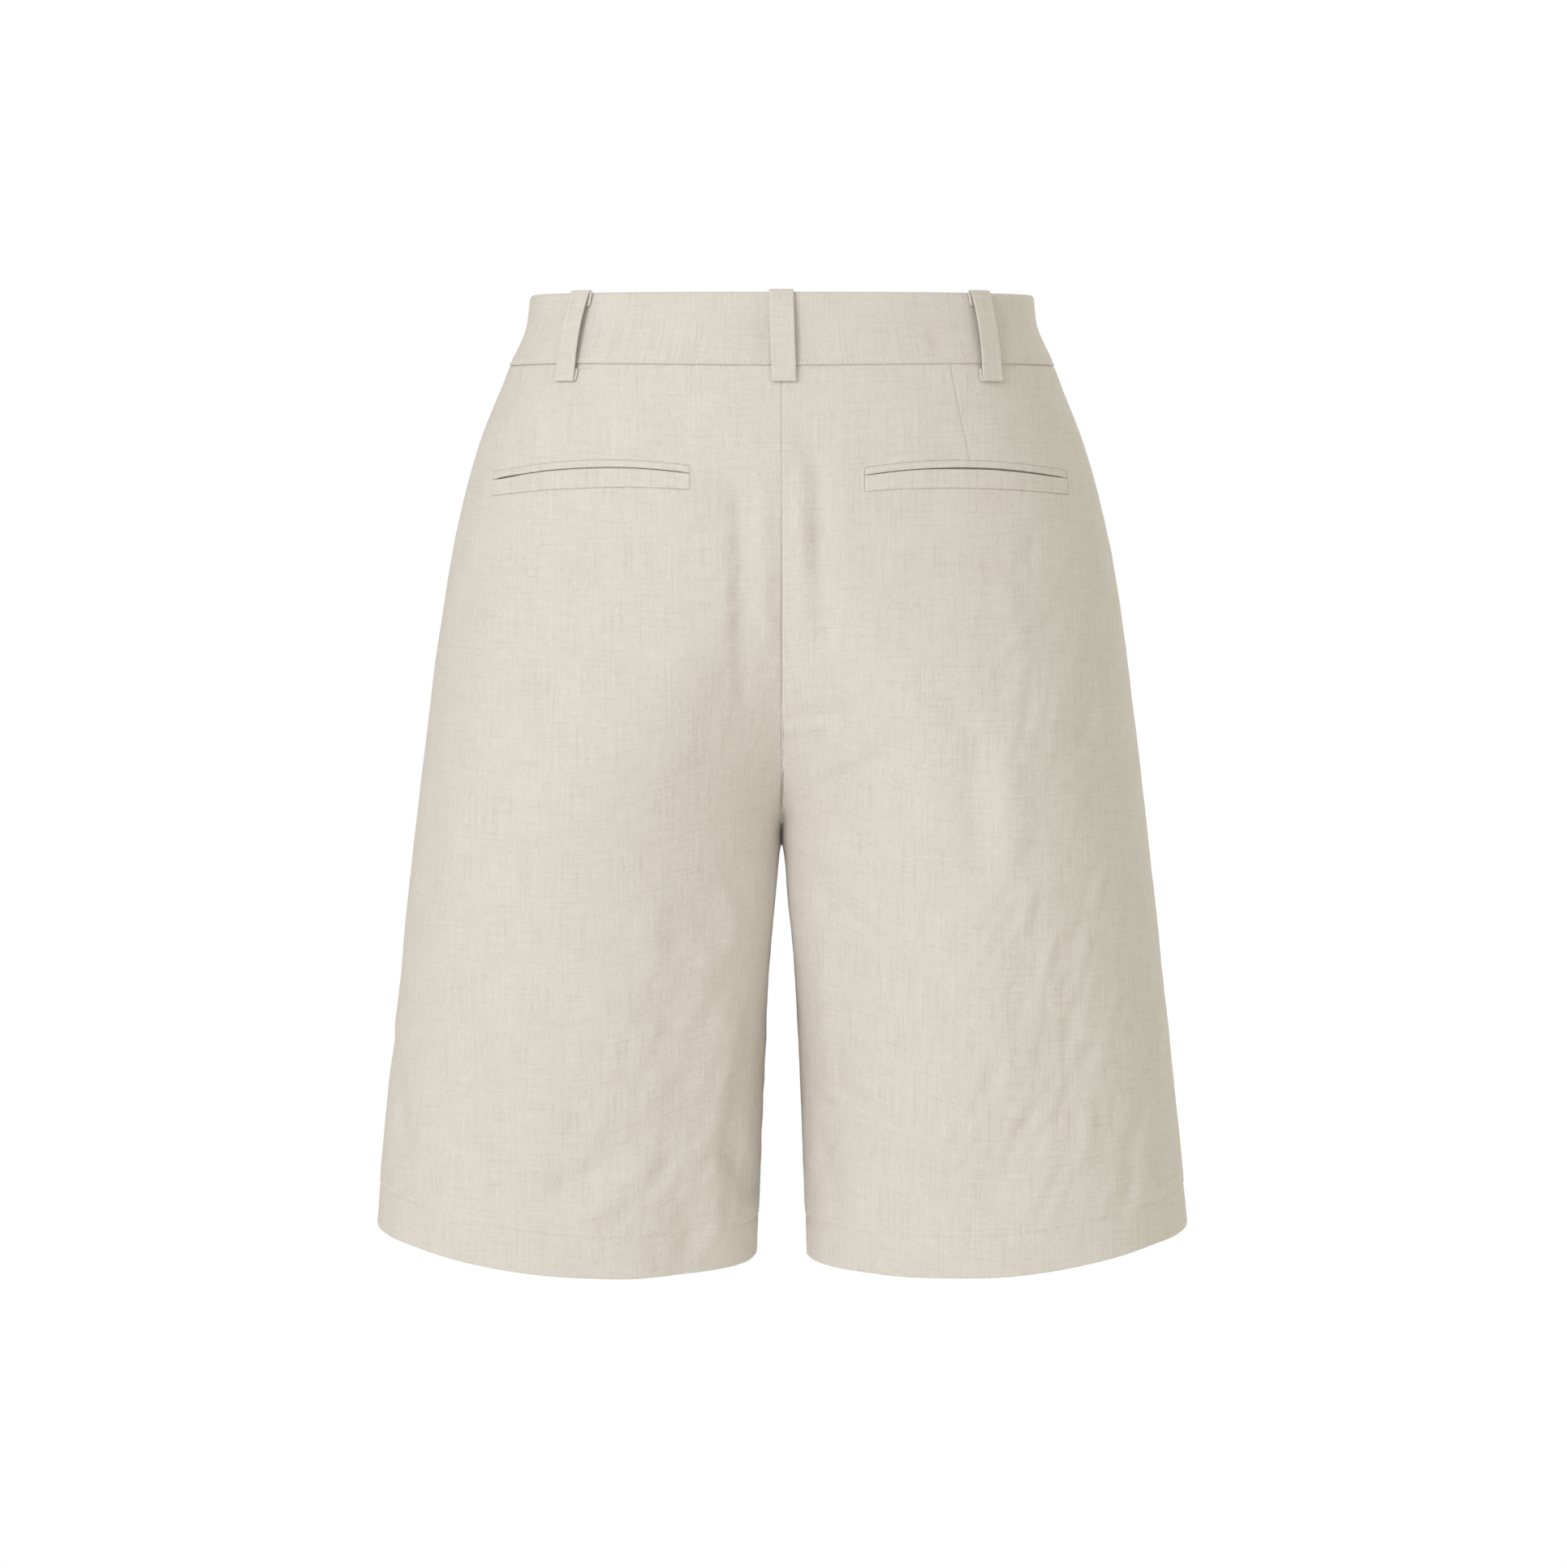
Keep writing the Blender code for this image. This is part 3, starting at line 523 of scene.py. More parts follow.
@dataclass
class Crumple:
    """The fine unevenness that washed linen keeps: many soft waves laid over each other."""

    # Low and high wavelength in millimetres, and how upright the waves' ridges run.
    bands: tuple[tuple[float, float, float], ...] = (
        (34, 70, 0.6),
        (13, 26, 0.5),
        (6, 10, 0.6),
        (34, 60, 0.34),
        (30, 52, 0.34),
        (50, 90, 0.7),
        (50, 90, 0.7),
    )
    swell: float = 0.22 * MM
    crinkle: float = 0.035 * MM
    grain: float = 0.008 * MM
    wrinkle: float = 0.50 * MM
    wrinkle_width: float = 0.42
    # How sharply the wrinkles come and go over the cloth, and how much of it has them.
    wrinkle_fade: float = 0.7
    wrinkle_share: float = 0.35
    # Fine streaks that run steeply down the worn parts, all leaning the same way.
    streak: float = 0.21 * MM
    streak_lengths: tuple[float, float] = (7.0, 17.0)
    streak_lean: float = 20.0
    streak_spread: float = 11.0
    count: int = 32
    seed: int = 11

    def __post_init__(self) -> None:
        """Draw the direction, wavelength and start of each wave once."""
        random = np.random.default_rng(self.seed)
        self.waves: list[tuple[Array, Array]] = []
        for low, high, lean in self.bands:
            ways = random.normal(size=(self.count, 3)) * (1.15, 1.0, lean)
            ways /= np.linalg.norm(ways, axis=1, keepdims=True)
            self._add_waves(random, ways, low, high)
        leans = np.radians(random.normal(self.streak_lean, self.streak_spread, size=self.count))
        deep = random.normal(0, 0.5, size=self.count)
        ways = np.stack([np.cos(leans), deep, np.sin(leans)], axis=1)
        self._add_waves(random, ways, *self.streak_lengths)

    def _add_waves(self, random: np.random.Generator, ways: Array, low: float, high: float) -> None:
        """Add waves that run the given ways, with wavelengths between two, in millimetres."""
        lengths = random.uniform(low, high, size=(self.count, 1)) * MM
        starts = random.uniform(0, 2 * np.pi, size=self.count)
        self.waves.append((ways * 2 * np.pi / lengths, starts))

    def wave(self, points: Array, band: int) -> Array:
        """The sum of one band's waves at each point, mostly between -1 and 1."""
        ways, starts = self.waves[band]
        return np.cos(points @ ways.T + starts).sum(axis=-1) * math.sqrt(2 / self.count)

    def raised(self, points: Array, worn: Array | float = 0.3) -> Array:
        """How far the cloth stands out.

        Args:
            points: Places on the plain form.
            worn: How much the cloth has wrinkled at each of them, 0 to 1.

        Returns:
            The rise at each place, in metres.
        """
        soft = self.swell * self.wave(points, 0) + self.grain * self.wave(points, 2)
        total = soft + self.crinkle * self.wave(points, 1) * (0.5 + worn)
        total += self.streak * self.wave(points, len(self.bands)) * worn
        for lines, fade, way in ((3, 5, 1), (4, 6, -0.8)):
            sharp = bell(self.wave(points, lines), self.wrinkle_width)
            shown = smooth_step(self.wave(points, fade) * self.wrinkle_fade + self.wrinkle_share)
            total += way * self.wrinkle * worn * sharp * shown
        return total


@dataclass(frozen=True)
class Dart:
    """A sewn dart from the waist seam down to the pocket, as a lapped line. Millimetres."""

    top_x: float
    top_z: float
    end_x: float
    end_z: float
    lap: float

    def distances(self, x: Array, z: Array) -> tuple[Array, Array]:
        """Signed distance from the line, and how far past its ends, in metres."""
        return line_distances(x, z, (self.top_x, self.top_z), (self.end_x, self.end_z))

    def raised(self, x: Array, z: Array) -> Array:
        """A fine groove with the cloth a little higher on the side where it laps."""
        aside, past = self.distances(x, z)
        groove = -0.8 * self.lap * MM * bell(aside, 0.65 * MM)
        step = self.lap * MM * (0.5 + 0.5 * np.tanh(aside / (0.5 * MM)))
        return bell(past, 5 * MM) * (groove + step * bell(aside, 9 * MM))

    def near(self, x: Array, z: Array) -> Array:
        """Whether a place is close to the dart and needs a finer mesh."""
        aside, past = self.distances(x, z)
        return (np.abs(aside) < FINE_REACH) & (past < 6 * MM)


@dataclass(frozen=True)
class BackPocket:
    """A welted back pocket: a window in the panel that a welt and a lip fill. Metres.

    The slit gapes between the two shares of its length that open_from and open_to give. The tack
    is a short upright line of stitches beside the window's inner end.
    """

    name: str
    inner_x: float
    outer_x: float
    inner_z: float
    outer_z: float
    open_from: float
    open_to: float
    rise: float = 4.8 * MM
    welt: float = 9.7 * MM
    welt_taper: float = 1.9 * MM
    lip: float = 3.3 * MM
    slit: float = 1.2 * MM
    recess: float = 1.0 * MM
    mouth: float = 2.2 * MM
    tack: float = 2.2 * MM
    tack_dip: float = 0.22 * MM
    # Half width of the window's edges and of the pressed lines beside them.
    line: float = 0.45 * MM
    # Half the slit's width in millimetres: where shut, how much more where it gapes, at its ends.
    gapes: tuple[float, float, float] = (0.12, 0.24, 0.03)

    def _share(self, x: Array) -> Array:
        """How far along the pocket x lies, 0 to 1."""
        return (x - self.inner_x) / (self.outer_x - self.inner_x)

    def opening(self, x: Array) -> Array:
        """Height of the pocket's opening at x: an arc between its two ends."""
        share = self._share(x)
        straight = self.inner_z + (self.outer_z - self.inner_z) * share
        return straight + self.rise * (1 - (2 * share - 1) ** 2)

    def depth(self, x: Array) -> Array:
        """Height of the welt at x: it narrows a little towards its ends."""
        return self.welt - self.welt_taper * np.clip(2 * self._share(x) - 1, -1, 1) ** 2

    def gape(self, x: Array) -> Array:
        """Half the width of the slit at x: it gapes a little along part of its length."""
        share = self._share(x)
        middle, reach = (self.open_from + self.open_to) / 2, abs(self.open_to - self.open_from) / 2
        wide = np.exp(-(((share - middle) / reach) ** 4))
        ends = np.clip((share - 0.01) * 30, 0, 1) * np.clip((0.985 - share) * 30, 0, 1)
        narrow, gaping, least = self.gapes
        return (narrow + gaping * wide) * ends * MM + least * MM

    def _inside(self, x: Array, above: Array) -> tuple[Array, Array]:
        """How far inside the window a place lies, from its ends and from its long edges."""
        inside = np.minimum(x - self.inner_x, self.outer_x - x)
        low = above + self.slit / 2 + self.depth(x)
        return inside, np.minimum(self.slit / 2 + self.lip - above, low)

    def sunk(self, x: Array, z: Array) -> Array:
        """How far the panel is sunk at each place, to take the welt and the lip."""
        above = z - self.opening(x)
        inside, tall = self._inside(x, above)
        window = smooth_step(np.minimum(inside, tall) / self.line + 0.5)
        slit = bell(above, 0.9 * MM) * smooth_step(inside / (1.2 * MM))
        tacked = smooth_step(tall / MM + 0.5) * self.tack_dip
        rim = bell(inside + 0.7 * MM, self.line)
        groove = bell(x - self.inner_x + self.tack, self.line)
        return window * self.recess + slit * self.mouth + tacked * (groove - rim)

    def near(self, x: Array, z: Array) -> Array:
        """Whether a place needs a finer mesh: close to the window's edge or to the slit."""
        above = z - self.opening(np.clip(x, self.inner_x, self.outer_x))
        inside, tall = self._inside(x, above)
        to_edge = np.abs(np.minimum(inside, tall)) < FINE_REACH
        tack = (np.abs(x - self.inner_x + self.tack / 2) < 2.4 * MM) & (tall > -2 * MM)
        return to_edge | tack | ((np.abs(above) < 2.4 * MM) & (inside > -FINE_REACH))


def new_object(name: str, mesh: bpy.types.Mesh) -> bpy.types.Object:
    """A mesh as an object of the scene."""
    piece = bpy.data.objects.new(name, mesh)
    bpy.context.scene.collection.objects.link(piece)
    return piece


def select_only(piece: bpy.types.Object) -> None:
    """Deselect everything, then select one object and make it active."""
    bpy.ops.object.select_all(action="DESELECT")
    piece.select_set(True)
    bpy.context.view_layer.objects.active = piece


def apply_modifier(piece: bpy.types.Object, kind: str, **settings: object) -> None:
    """Add a modifier with its settings and apply it.

    Args:
        piece: The object.
        kind: Blender's type of modifier.
        settings: The modifier's properties by name.
    """
    modifier = piece.modifiers.new(kind.title(), kind)
    for name, value in settings.items():
        setattr(modifier, name, value)
    select_only(piece)
    bpy.ops.object.modifier_apply(modifier=modifier.name)


def mesh_object(
    name: str, verts: list, faces: list, corners: list | None = None
) -> bpy.types.Object:
    """A smooth mesh with its faces turned outwards, as an object of the scene.

    Args:
        name: The object's name.
        verts: Its points.
        faces: Its faces, as numbers of points.
        corners: The weave coordinates of each corner of each face, if the mesh has them.

    Returns:
        The object.
    """
    mesh = bpy.data.meshes.new(name)
    mesh.from_pydata(verts, [], faces)
    if corners:
        layer = mesh.uv_layers.new(name=WEAVE_MAP)
        layer.data.foreach_set("uv", np.array(corners, float).ravel())
    shape = bmesh.new()
    shape.from_mesh(mesh)
    bmesh.ops.recalc_face_normals(shape, faces=shape.faces)
    shape.to_mesh(mesh)
    shape.free()
    mesh.shade_smooth()
    return new_object(name, mesh)


def loft(name: str, rings: Array, uvs: Array) -> bpy.types.Object:
    """A closed skin through rings of points, with its first and last ring filled.

    Args:
        name: The object's name.
        rings: Points as [ring][point][x, y, z]; each ring is a closed loop.
        uvs: The weave coordinates of the same points as [ring][point + 1][u, v], in metres.

    Returns:
        The object.
    """
    count, size = rings.shape[:2]
    faces, corners = [], []
    for ring in range(count - 1):
        for point in range(size):
            places = ((ring, point), (ring, point + 1), (ring + 1, point + 1), (ring + 1, point))
            faces.append([row * size + column % size for row, column in places])
            corners += [uvs[place] for place in places]
    for ring, order in ((0, range(size)[::-1]), (count - 1, range(size))):
        faces.append([ring * size + point for point in order])
        corners += [uvs[ring, point] for point in order]
    return mesh_object(name, rings.reshape(-1, 3).tolist(), faces, corners)


def add_node(
    tree: Tree,
    kind: str,
    settings: dict[str, object] | None = None,
    values: Values | None = None,
    links: dict[str | int, Socket] | None = None,
) -> bpy.types.Node:
    """Add a shader node.

    Args:
        tree: The node tree.
        kind: Blender's type of node.
        settings: The node's own properties by name.
        values: Constants for its sockets.
        links: Output sockets that feed its sockets.

    Returns:
        The node.
    """
    node = tree.nodes.new(kind)
    for name, value in (settings or {}).items():
        setattr(node, name, value)
    for socket, value in (values or {}).items():
        node.inputs[socket].default_value = value
    for socket, source in (links or {}).items():
        tree.links.new(source, node.inputs[socket])
    return node


def add_noise(tree: Tree, place: Socket, kind: str, **values: float) -> Socket:
    """Noise over a place, of kind "2D" or "3D", with constants for its sockets by name."""
    settings = {"noise_dimensions": kind}
    return add_node(tree, "ShaderNodeTexNoise", settings, values, {"Vector": place}).outputs[0]


def add_mix(tree: Tree, amount: Socket, under: Socket | tuple, over: tuple) -> Socket:
    """One colour laid over another by an amount."""
    values: Values = {7: over}
    links: dict[str | int, Socket] = {0: amount}
    if isinstance(under, tuple):
        values[6] = under
    else:
        links[6] = under
    return add_node(tree, "ShaderNodeMix", {"data_type": "RGBA"}, values, links).outputs[2]


def new_material(name: str, values: Values) -> tuple[bpy.types.Material, Tree, bpy.types.Node]:
    """A material with its node tree and its Principled shader, whose sockets take the values."""
    material = bpy.data.materials.new(name)
    material.use_nodes = True
    tree = material.node_tree
    shader = tree.nodes["Principled BSDF"]
    for socket, value in values.items():
        shader.inputs[socket].default_value = value
    return material, tree, shader


@dataclass(frozen=True)
class SlubLinen:
    """Washed linen, plain woven from flax yarns of uneven thickness.

    Flax yarn is spun with slubs, thicker stretches a few millimetres long, which take the dye a
    little differently. They give the eye short light and dark dashes along both thread ways, and
    a matt surface with no shine. The real threads lie about 0.45 mm apart, which is too fine to
    show, so the weave is drawn at twice that.
    """

    name: str = "washed_slub_linen"
    cloth: str = "#D5CFC7"
    pale_slub: str = "#E3DED6"
    dark_slub: str = "#BCB4A6"
    thread: float = 0.9 * MM
    # Width and length of each kind of uneven yarn, how much it shows, and whether it runs upright.
    yarns: tuple[tuple[float, float, float, bool], ...] = (
        (0.62, 5.0, 0.35, True),
        (0.62, 3.8, 0.22, False),
        (1.30, 34.0, 0.30, True),
        (1.50, 22.0, 0.22, False),
    )
    cloud: float = 22 * MM
    fleck: float = 0.62 * MM
    weave_depth: float = 0.030 * MM
    slub_depth: float = 0.045 * MM
    roughness: float = 0.92

    def _slubs(self, tree: Tree, weave: Socket, width: float, length: float, up: bool) -> Socket:
        """Noise stretched along one thread way, for pieces of yarn of a width and length in mm."""
        across, along = 1 / (width * MM), 1 / (length * MM)
        scale = (across, along, 1) if up else (along, across, 1)
        values = {1: scale, 2: (length, width * 10, 0)}
        settings = {"operation": "MULTIPLY_ADD"}
        stretched = add_node(tree, "ShaderNodeVectorMath", settings, values, {0: weave})
        return add_noise(tree, stretched.outputs[0], "2D", Scale=1.0, Detail=2.0, Roughness=0.55)

    def _ramp(self, tree: Tree, source: Socket, low: float, high: float, top: float) -> Socket:
        """A number taken from between low and high to between 0 and top."""
        values = {"From Min": low, "From Max": high, "To Max": top}
        settings = {"interpolation_type": "SMOOTHSTEP"}
        return add_node(tree, "ShaderNodeMapRange", settings, values, {"Value": source}).outputs[0]

    def _math(self, tree: Tree, kind: str, first: Socket, second: Socket | float = 0.0) -> Socket:
        """One sum on two numbers."""
        constant = isinstance(second, float)
        values, links = ({1: second}, {0: first}) if constant else ({}, {0: first, 1: second})
        return add_node(tree, "ShaderNodeMath", {"operation": kind}, values, links).outputs[0]

    def build(self) -> bpy.types.Material:
        """Make the material: slubs both ways, a soft cloudiness and the woven surface."""
        surface = {
            "Roughness": self.roughness,
            "Specular IOR Level": 0.25,
            "Sheen Weight": 0.04,
            "Sheen Roughness": 0.5,
        }
        material, tree, shader = new_material(self.name, surface)
        pale, dark = linear(self.pale_slub), linear(self.dark_slub)
        weave = add_node(tree, "ShaderNodeUVMap", {"uv_map": WEAVE_MAP}).outputs[0]
        yarns = [self._slubs(tree, weave, wide, long, up) for wide, long, _, up in self.yarns]
        cloud = add_noise(tree, weave, "2D", Scale=1 / self.cloud, Detail=3.0, Roughness=0.6)
        flecks = add_noise(tree, weave, "2D", Scale=1 / self.fleck, Detail=1.0)

        colour = add_mix(tree, self._ramp(tree, cloud, 0.35, 0.75, 0.10), linear(self.cloth), dark)
        for slubs, (_, _, amount, _) in zip(yarns, self.yarns):
            colour = add_mix(tree, self._ramp(tree, slubs, 0.55, 0.78, amount), colour, pale)
            colour = add_mix(tree, self._ramp(tree, slubs, 0.45, 0.22, amount), colour, dark)
        colour = add_mix(tree, self._ramp(tree, flecks, 0.68, 0.78, 0.9), colour, pale)
        tree.links.new(colour, shader.inputs["Base Color"])

        ways = add_node(tree, "ShaderNodeSeparateXYZ", links={0: weave}).outputs
        waves = [
            self._math(tree, "SINE", self._math(tree, "MULTIPLY", way, math.pi / self.thread))
            for way in ways[:2]
        ]
        crossing = self._math(tree, "MULTIPLY", *waves)
        woven = self._math(tree, "MULTIPLY", crossing, self.weave_depth)
        thickened = self._math(tree, "ADD", *yarns[:2])
        slubbed = self._math(tree, "MULTIPLY", thickened, self.slub_depth)
        height = {"Height": self._math(tree, "ADD", woven, slubbed)}
        bump = add_node(tree, "ShaderNodeBump", {}, {"Strength": 1.0, "Distance": 1.0}, height)
        tree.links.new(bump.outputs[0], shader.inputs["Normal"])
        return material


@dataclass(frozen=True)
class SewingThread:
    """Core-spun polyester sewing thread, a shade paler than the cloth, with a faint soft shine."""

    name: str = "core_spun_thread"
    pale: str = "#F3EEE4"
    shade: str = "#DDD7CB"
    roughness: float = 0.6

    def build(self) -> bpy.types.Material:
        """Make the material, with the tone of the thread drifting from stitch to stitch."""
        material, tree, shader = new_material(self.name, {"Roughness": self.roughness})
        place = add_node(tree, "ShaderNodeTexCoord").outputs["Object"]
        drift = add_noise(tree, place, "3D", Scale=1 / (4 * MM), Detail=1.0)
        colour = add_mix(tree, drift, linear(self.shade), linear(self.pale))
        tree.links.new(colour, shader.inputs["Base Color"])
        return material


@dataclass(frozen=True)
class ResinButton:
    """Polyester resin button stock, streaked like horn, turned and tumbled to a soft gloss."""

    name: str = "tumbled_polyester_resin"
    pale: str = "#B9A98C"
    streak: str = "#8B7657"
    roughness: float = 0.34
    ior: float = 1.56

    def build(self) -> bpy.types.Material:
        """Make the material, with streaks about 2 mm apart."""
        surface = {"Roughness": self.roughness, "IOR": self.ior}
        material, tree, shader = new_material(self.name, surface)
        place = add_node(tree, "ShaderNodeTexCoord").outputs["Object"]
        scale = {1: (1 / (7 * MM), 1 / (2 * MM), 1 / (2 * MM))}
        settings = {"operation": "MULTIPLY"}
        stretched = add_node(tree, "ShaderNodeVectorMath", settings, scale, {0: place}).outputs[0]
        streaks = add_noise(tree, stretched, "3D", Scale=1.0, Detail=3.0, Distortion=1.2)
        colour = add_mix(tree, streaks, linear(self.pale), linear(self.streak))
        tree.links.new(colour, shader.inputs["Base Color"])
        return material


@dataclass(frozen=True)
class Finishes:
    """The materials of the garment."""

    linen: bpy.types.Material
    thread: bpy.types.Material
    resin: bpy.types.Material


def dress(piece: bpy.types.Object, material: bpy.types.Material) -> None:
    """Give a piece its material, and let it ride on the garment."""
    piece.data.materials.clear()
    piece.data.materials.append(material)
    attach(piece, "root")
    LOG.info("%s: %d faces", piece.name, len(piece.data.polygons))


def sewn_skin(
    name: str, node: str, rings: Array, uvs: Array, finishes: Finishes
) -> bpy.types.Object:
    """A piece of linen as a skin through rings, which takes the place of a node of the CAD."""
    piece = loft(name, rings, uvs)
    dress(piece, finishes.linen)
    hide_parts(node)
    return piece


@dataclass
class LegPanel:
    """One of the four leg panels, from the waist seam to its turned-up hem.

    Layers are thicknesses of cloth. Dips, grooves and the tuck are pressed into it. The ditch is
    the line where the turned-up hem's raw edge shows through, above its lower edge.
    """

    name: str
    side: Side
    face: Face
    form: BodyForm
    crumple: Crumple
    pocket: BackPocket | None = None
    dart: Dart | None = None
    # How far the centre seam stands up where one side laps the other, and between which heights.
    laps: float = 0.0
    laps_top: float = 0.0
    laps_bottom: float = -190 * MM
    laps_width: float = 3 * MM
    # How far from the middle the straight grain runs down the leg.
    grain: float = 95 * MM
    grid: float = 2.15 * MM
    cloth: float = 0.7 * MM
    allowance: float = 10 * MM
    allowance_layers: float = 1.25 * MM
    hem_layers: float = 1.9 * MM
    hem_thinning: float = 0.9 * MM
    ditch: float = 22.8 * MM
    seam_dip: float = 0.40 * MM
    rise_dip: float = 0.6
    seam_width: float = 0.60 * MM
    # Depth and width of the grooves at the waist seam, the hem's stitching and the turned edge.
    waist_groove: tuple[float, float] = (0.35 * MM, 0.9 * MM)
    hem_groove: tuple[float, float] = (0.24 * MM, 0.8 * MM)
    ditch_groove: tuple[float, float] = (0.42 * MM, 1.3 * MM)
    hem_step: float = 0.34 * MM
    pucker: float = 0.09 * MM
    pucker_reach: float = 6 * MM
    # How much the plainest cloth wrinkles, and the rounding of the hem's lower edge.
    least_worn: float = 0.12
    hem_round: float = 1.3 * MM
    hem_tuck: float = 0.55 * MM
    # Over which distance creases fade beside a seam, everything below the waist seam, and the
    # seams' grooves at the crotch.
    seam_calm: float = 4 * MM
    waist_calm: float = 14 * MM
    crotch_calm: float = 7 * MM
    fine_steps: tuple[float, ...] = (0.4 * MM, 0.85 * MM, 1.4 * MM)
    # Heights of the rows of the hem above its edge, in millimetres.
    hem_rows: tuple[float, ...] = (
        *(23.5, 22.9, 22.4, 21.8, 20.8, 18.8, 16.4, 13.8, 11.2, 8.6, 6.0, 3.4),
        *(2.2, 1.3, 0.7, 0.3, 0.08, 0.0),
    )
    # About how wide a panel is, which sets how many columns it has.
    width: float = 0.275

    def hem_height(self, across: Array) -> Array:
        """Height of the hem's lower edge, which rises towards the side seam."""
        side = INNER_HEM + HEM_SLOPE * float(self.form.shape("half_width", np.array(INNER_HEM)))
        return side + (INNER_HEM - side) * np.asarray(across) ** 2 - self.hang(across)

    def hem_edge(self, hem: Array) -> Array:
        """How far the hem is rounded off: 1 at its lower edge and 0 where it is flat."""
        return (1 - np.clip(hem / self.hem_round, 0, 1)) ** 2

    def hang(self, across: Array) -> Array:
        """How much lower the hem hangs than the plain curve between its seams."""
        share = np.clip((np.asarray(across) - HANG_START) / (HANG_END - HANG_START), 0, 1)
        return HEM_HANG[self.face] * np.sin(np.pi * share) ** HANG_FULLNESS

    def heights(self, inner: Array, side: Array, across: Array) -> Array:
        """Heights of each row at places across the panel, from those at its two ends."""
        down_leg = np.clip((CROTCH - inner) / (CROTCH - INNER_HEM - HEM_DEPTH), 0, 1)
        height = side + (inner - side) * across**2 - self.hang(across) * down_leg
        near_top = smooth_step(1 - (WAIST_SEAM - height) / (45 * MM))
        x = self.form.point(height, across, self.face)[..., 0]
        return height + seam_lift(x, self.face) * near_top

    def inner_heights(self) -> Array:
        """Heights that lie evenly along the centre seam and the inseam, down to the hem line."""
        share = 1 - np.linspace(1, 0, 1200) ** RISE_CORNER[self.face]
        rise = RISE_TOP + (CROTCH - RISE_TOP) * share
        above = np.linspace(WAIST_SEAM, RISE_TOP, 60)[:-1]
        below = np.linspace(CROTCH, INNER_HEM + HEM_DEPTH, 300)[1:]
        heights = np.concatenate([above, rise, below])
        lengths = lengths_along(self.form.point(heights, 1.0, self.face))
        wanted = np.linspace(0, lengths[-1], round(lengths[-1] / self.grid) + 1)
        found = np.interp(wanted, lengths, heights)
        crotch = lengths[len(above) + len(rise) - 1]
        found[np.argmin(np.abs(wanted - crotch))] = CROTCH
        return found

    def rows(self) -> tuple[Array, Array]:
        """Heights of each row at its inner end and at the side seam."""
        inner = self.inner_heights()
        side_hem = float(self.hem_height(0.0))
        side = np.linspace(WAIST_SEAM, side_hem + HEM_DEPTH, len(inner))
        stitched = np.array([-1.3, -0.7, 0.0, 0.7, 1.4]) * MM
        hem = np.concatenate([HEM_DEPTH - stitched, np.array(self.hem_rows) * MM])
        top = WAIST_SEAM - np.array((0.0, *self.fine_steps))
        inner_rows = np.concatenate([top, inner[1:-1], INNER_HEM + hem])
        return inner_rows, np.concatenate([top, side[1:-1], side_hem + hem])

    def columns(self) -> Array:
        """Places across the panel, closer together at the two seams."""
        fine = np.array(self.fine_steps) / self.width
        middle = np.linspace(0, 1, round(self.width / self.grid) + 1)[1:-1]
        return np.concatenate([[0], fine, middle, 1 - fine[::-1], [1]])

    def relief(self, height: Array, across: Array, windowed: bool = True) -> Array:
        """How far the cloth stands off the plain form.

        Args:
            height: Heights in metres.
            across: Places across the panel, 0 to 1.
            windowed: Whether the pocket's window is sunk into the panel.

        Returns:
            Distances along the outward normal, in metres.
        """
        base = self.form.point(height, across, self.face)
        x, z = base[..., 0], base[..., 2]
        side, centre = self.form.seam_distance(height, across, self.face)
        hem = z - self.hem_height(across)
        below = WAIST_SEAM + seam_lift(x, self.face) - z
        mirrored = base * (self.side.value, 1, 1)
        key = (self.side, self.face)
        total = np.zeros(x.shape)
        for row in FOLDS[key] + CREASES[key]:
            total += Crease(*row).raised(x, z)
        worn = np.full(x.shape, self.least_worn)
        for row in WORN_AREAS[key]:
            worn += WornArea(*row).strength(x, z)
        total *= 1 - bell(np.minimum(side, centre), self.seam_calm)
        total += self.crumple.raised(mirrored, np.minimum(worn, 1))
        total *= smooth_step(below / self.waist_calm)
        if self.dart:
            total += self.dart.raised(x, z)
        near_crotch = np.hypot(z - CROTCH, base[..., 1]) / self.crotch_calm
        eased = np.where((z > CROTCH) & (z < self.laps_top), self.rise_dip, 1)
        grooves = bell(side, self.seam_width) + bell(centre, self.seam_width) * eased
        total -= self.seam_dip * smooth_step(near_crotch) * grooves
        total += self.hem_step * smooth_step((hem - self.ditch) / (1.5 * MM))
        for distance, (depth, width) in (
            (below, self.waist_groove),
            (hem - HEM_DEPTH, self.hem_groove),
            (hem - self.ditch, self.ditch_groove),
        ):
            total -= depth * bell(distance, width)
        puckers = self.crumple.wave(mirrored, 2) * bell(hem - HEM_DEPTH, self.pucker_reach)
        total += self.pucker * puckers
        total -= self.hem_tuck * self.hem_edge(hem)
        if self.laps:
            top = smooth_step((self.laps_top - z) / (8 * MM))
            bottom = smooth_step((z - self.laps_bottom) / (12 * MM))
            total += self.laps * (top * bottom) * bell(centre, self.laps_width)
        if self.pocket and windowed:
            total -= self.pocket.sunk(x, z)
        return total

    def place(
        self, height: Array, across: Array, lift: Array | float = 0.0, windowed: bool = True
    ) -> tuple[Array, Array]:
        """Points on the finished cloth and its plain normals there, on the panel's own side.

        Args:
            height: Heights in metres.
            across: Places across the panel.
            lift: How far above the cloth the points lie.
            windowed: Whether the pocket's window is sunk into the panel.

        Returns:
            The points and the normals, as arrays.
        """
        flip = (self.side.value, 1, 1)
        base = self.form.point(height, across, self.face)
        normal = self.form.normal(height, across, self.face)
        out = self.relief(height, across, windowed) + lift
        return (base + normal * out[..., None]) * flip, normal * flip

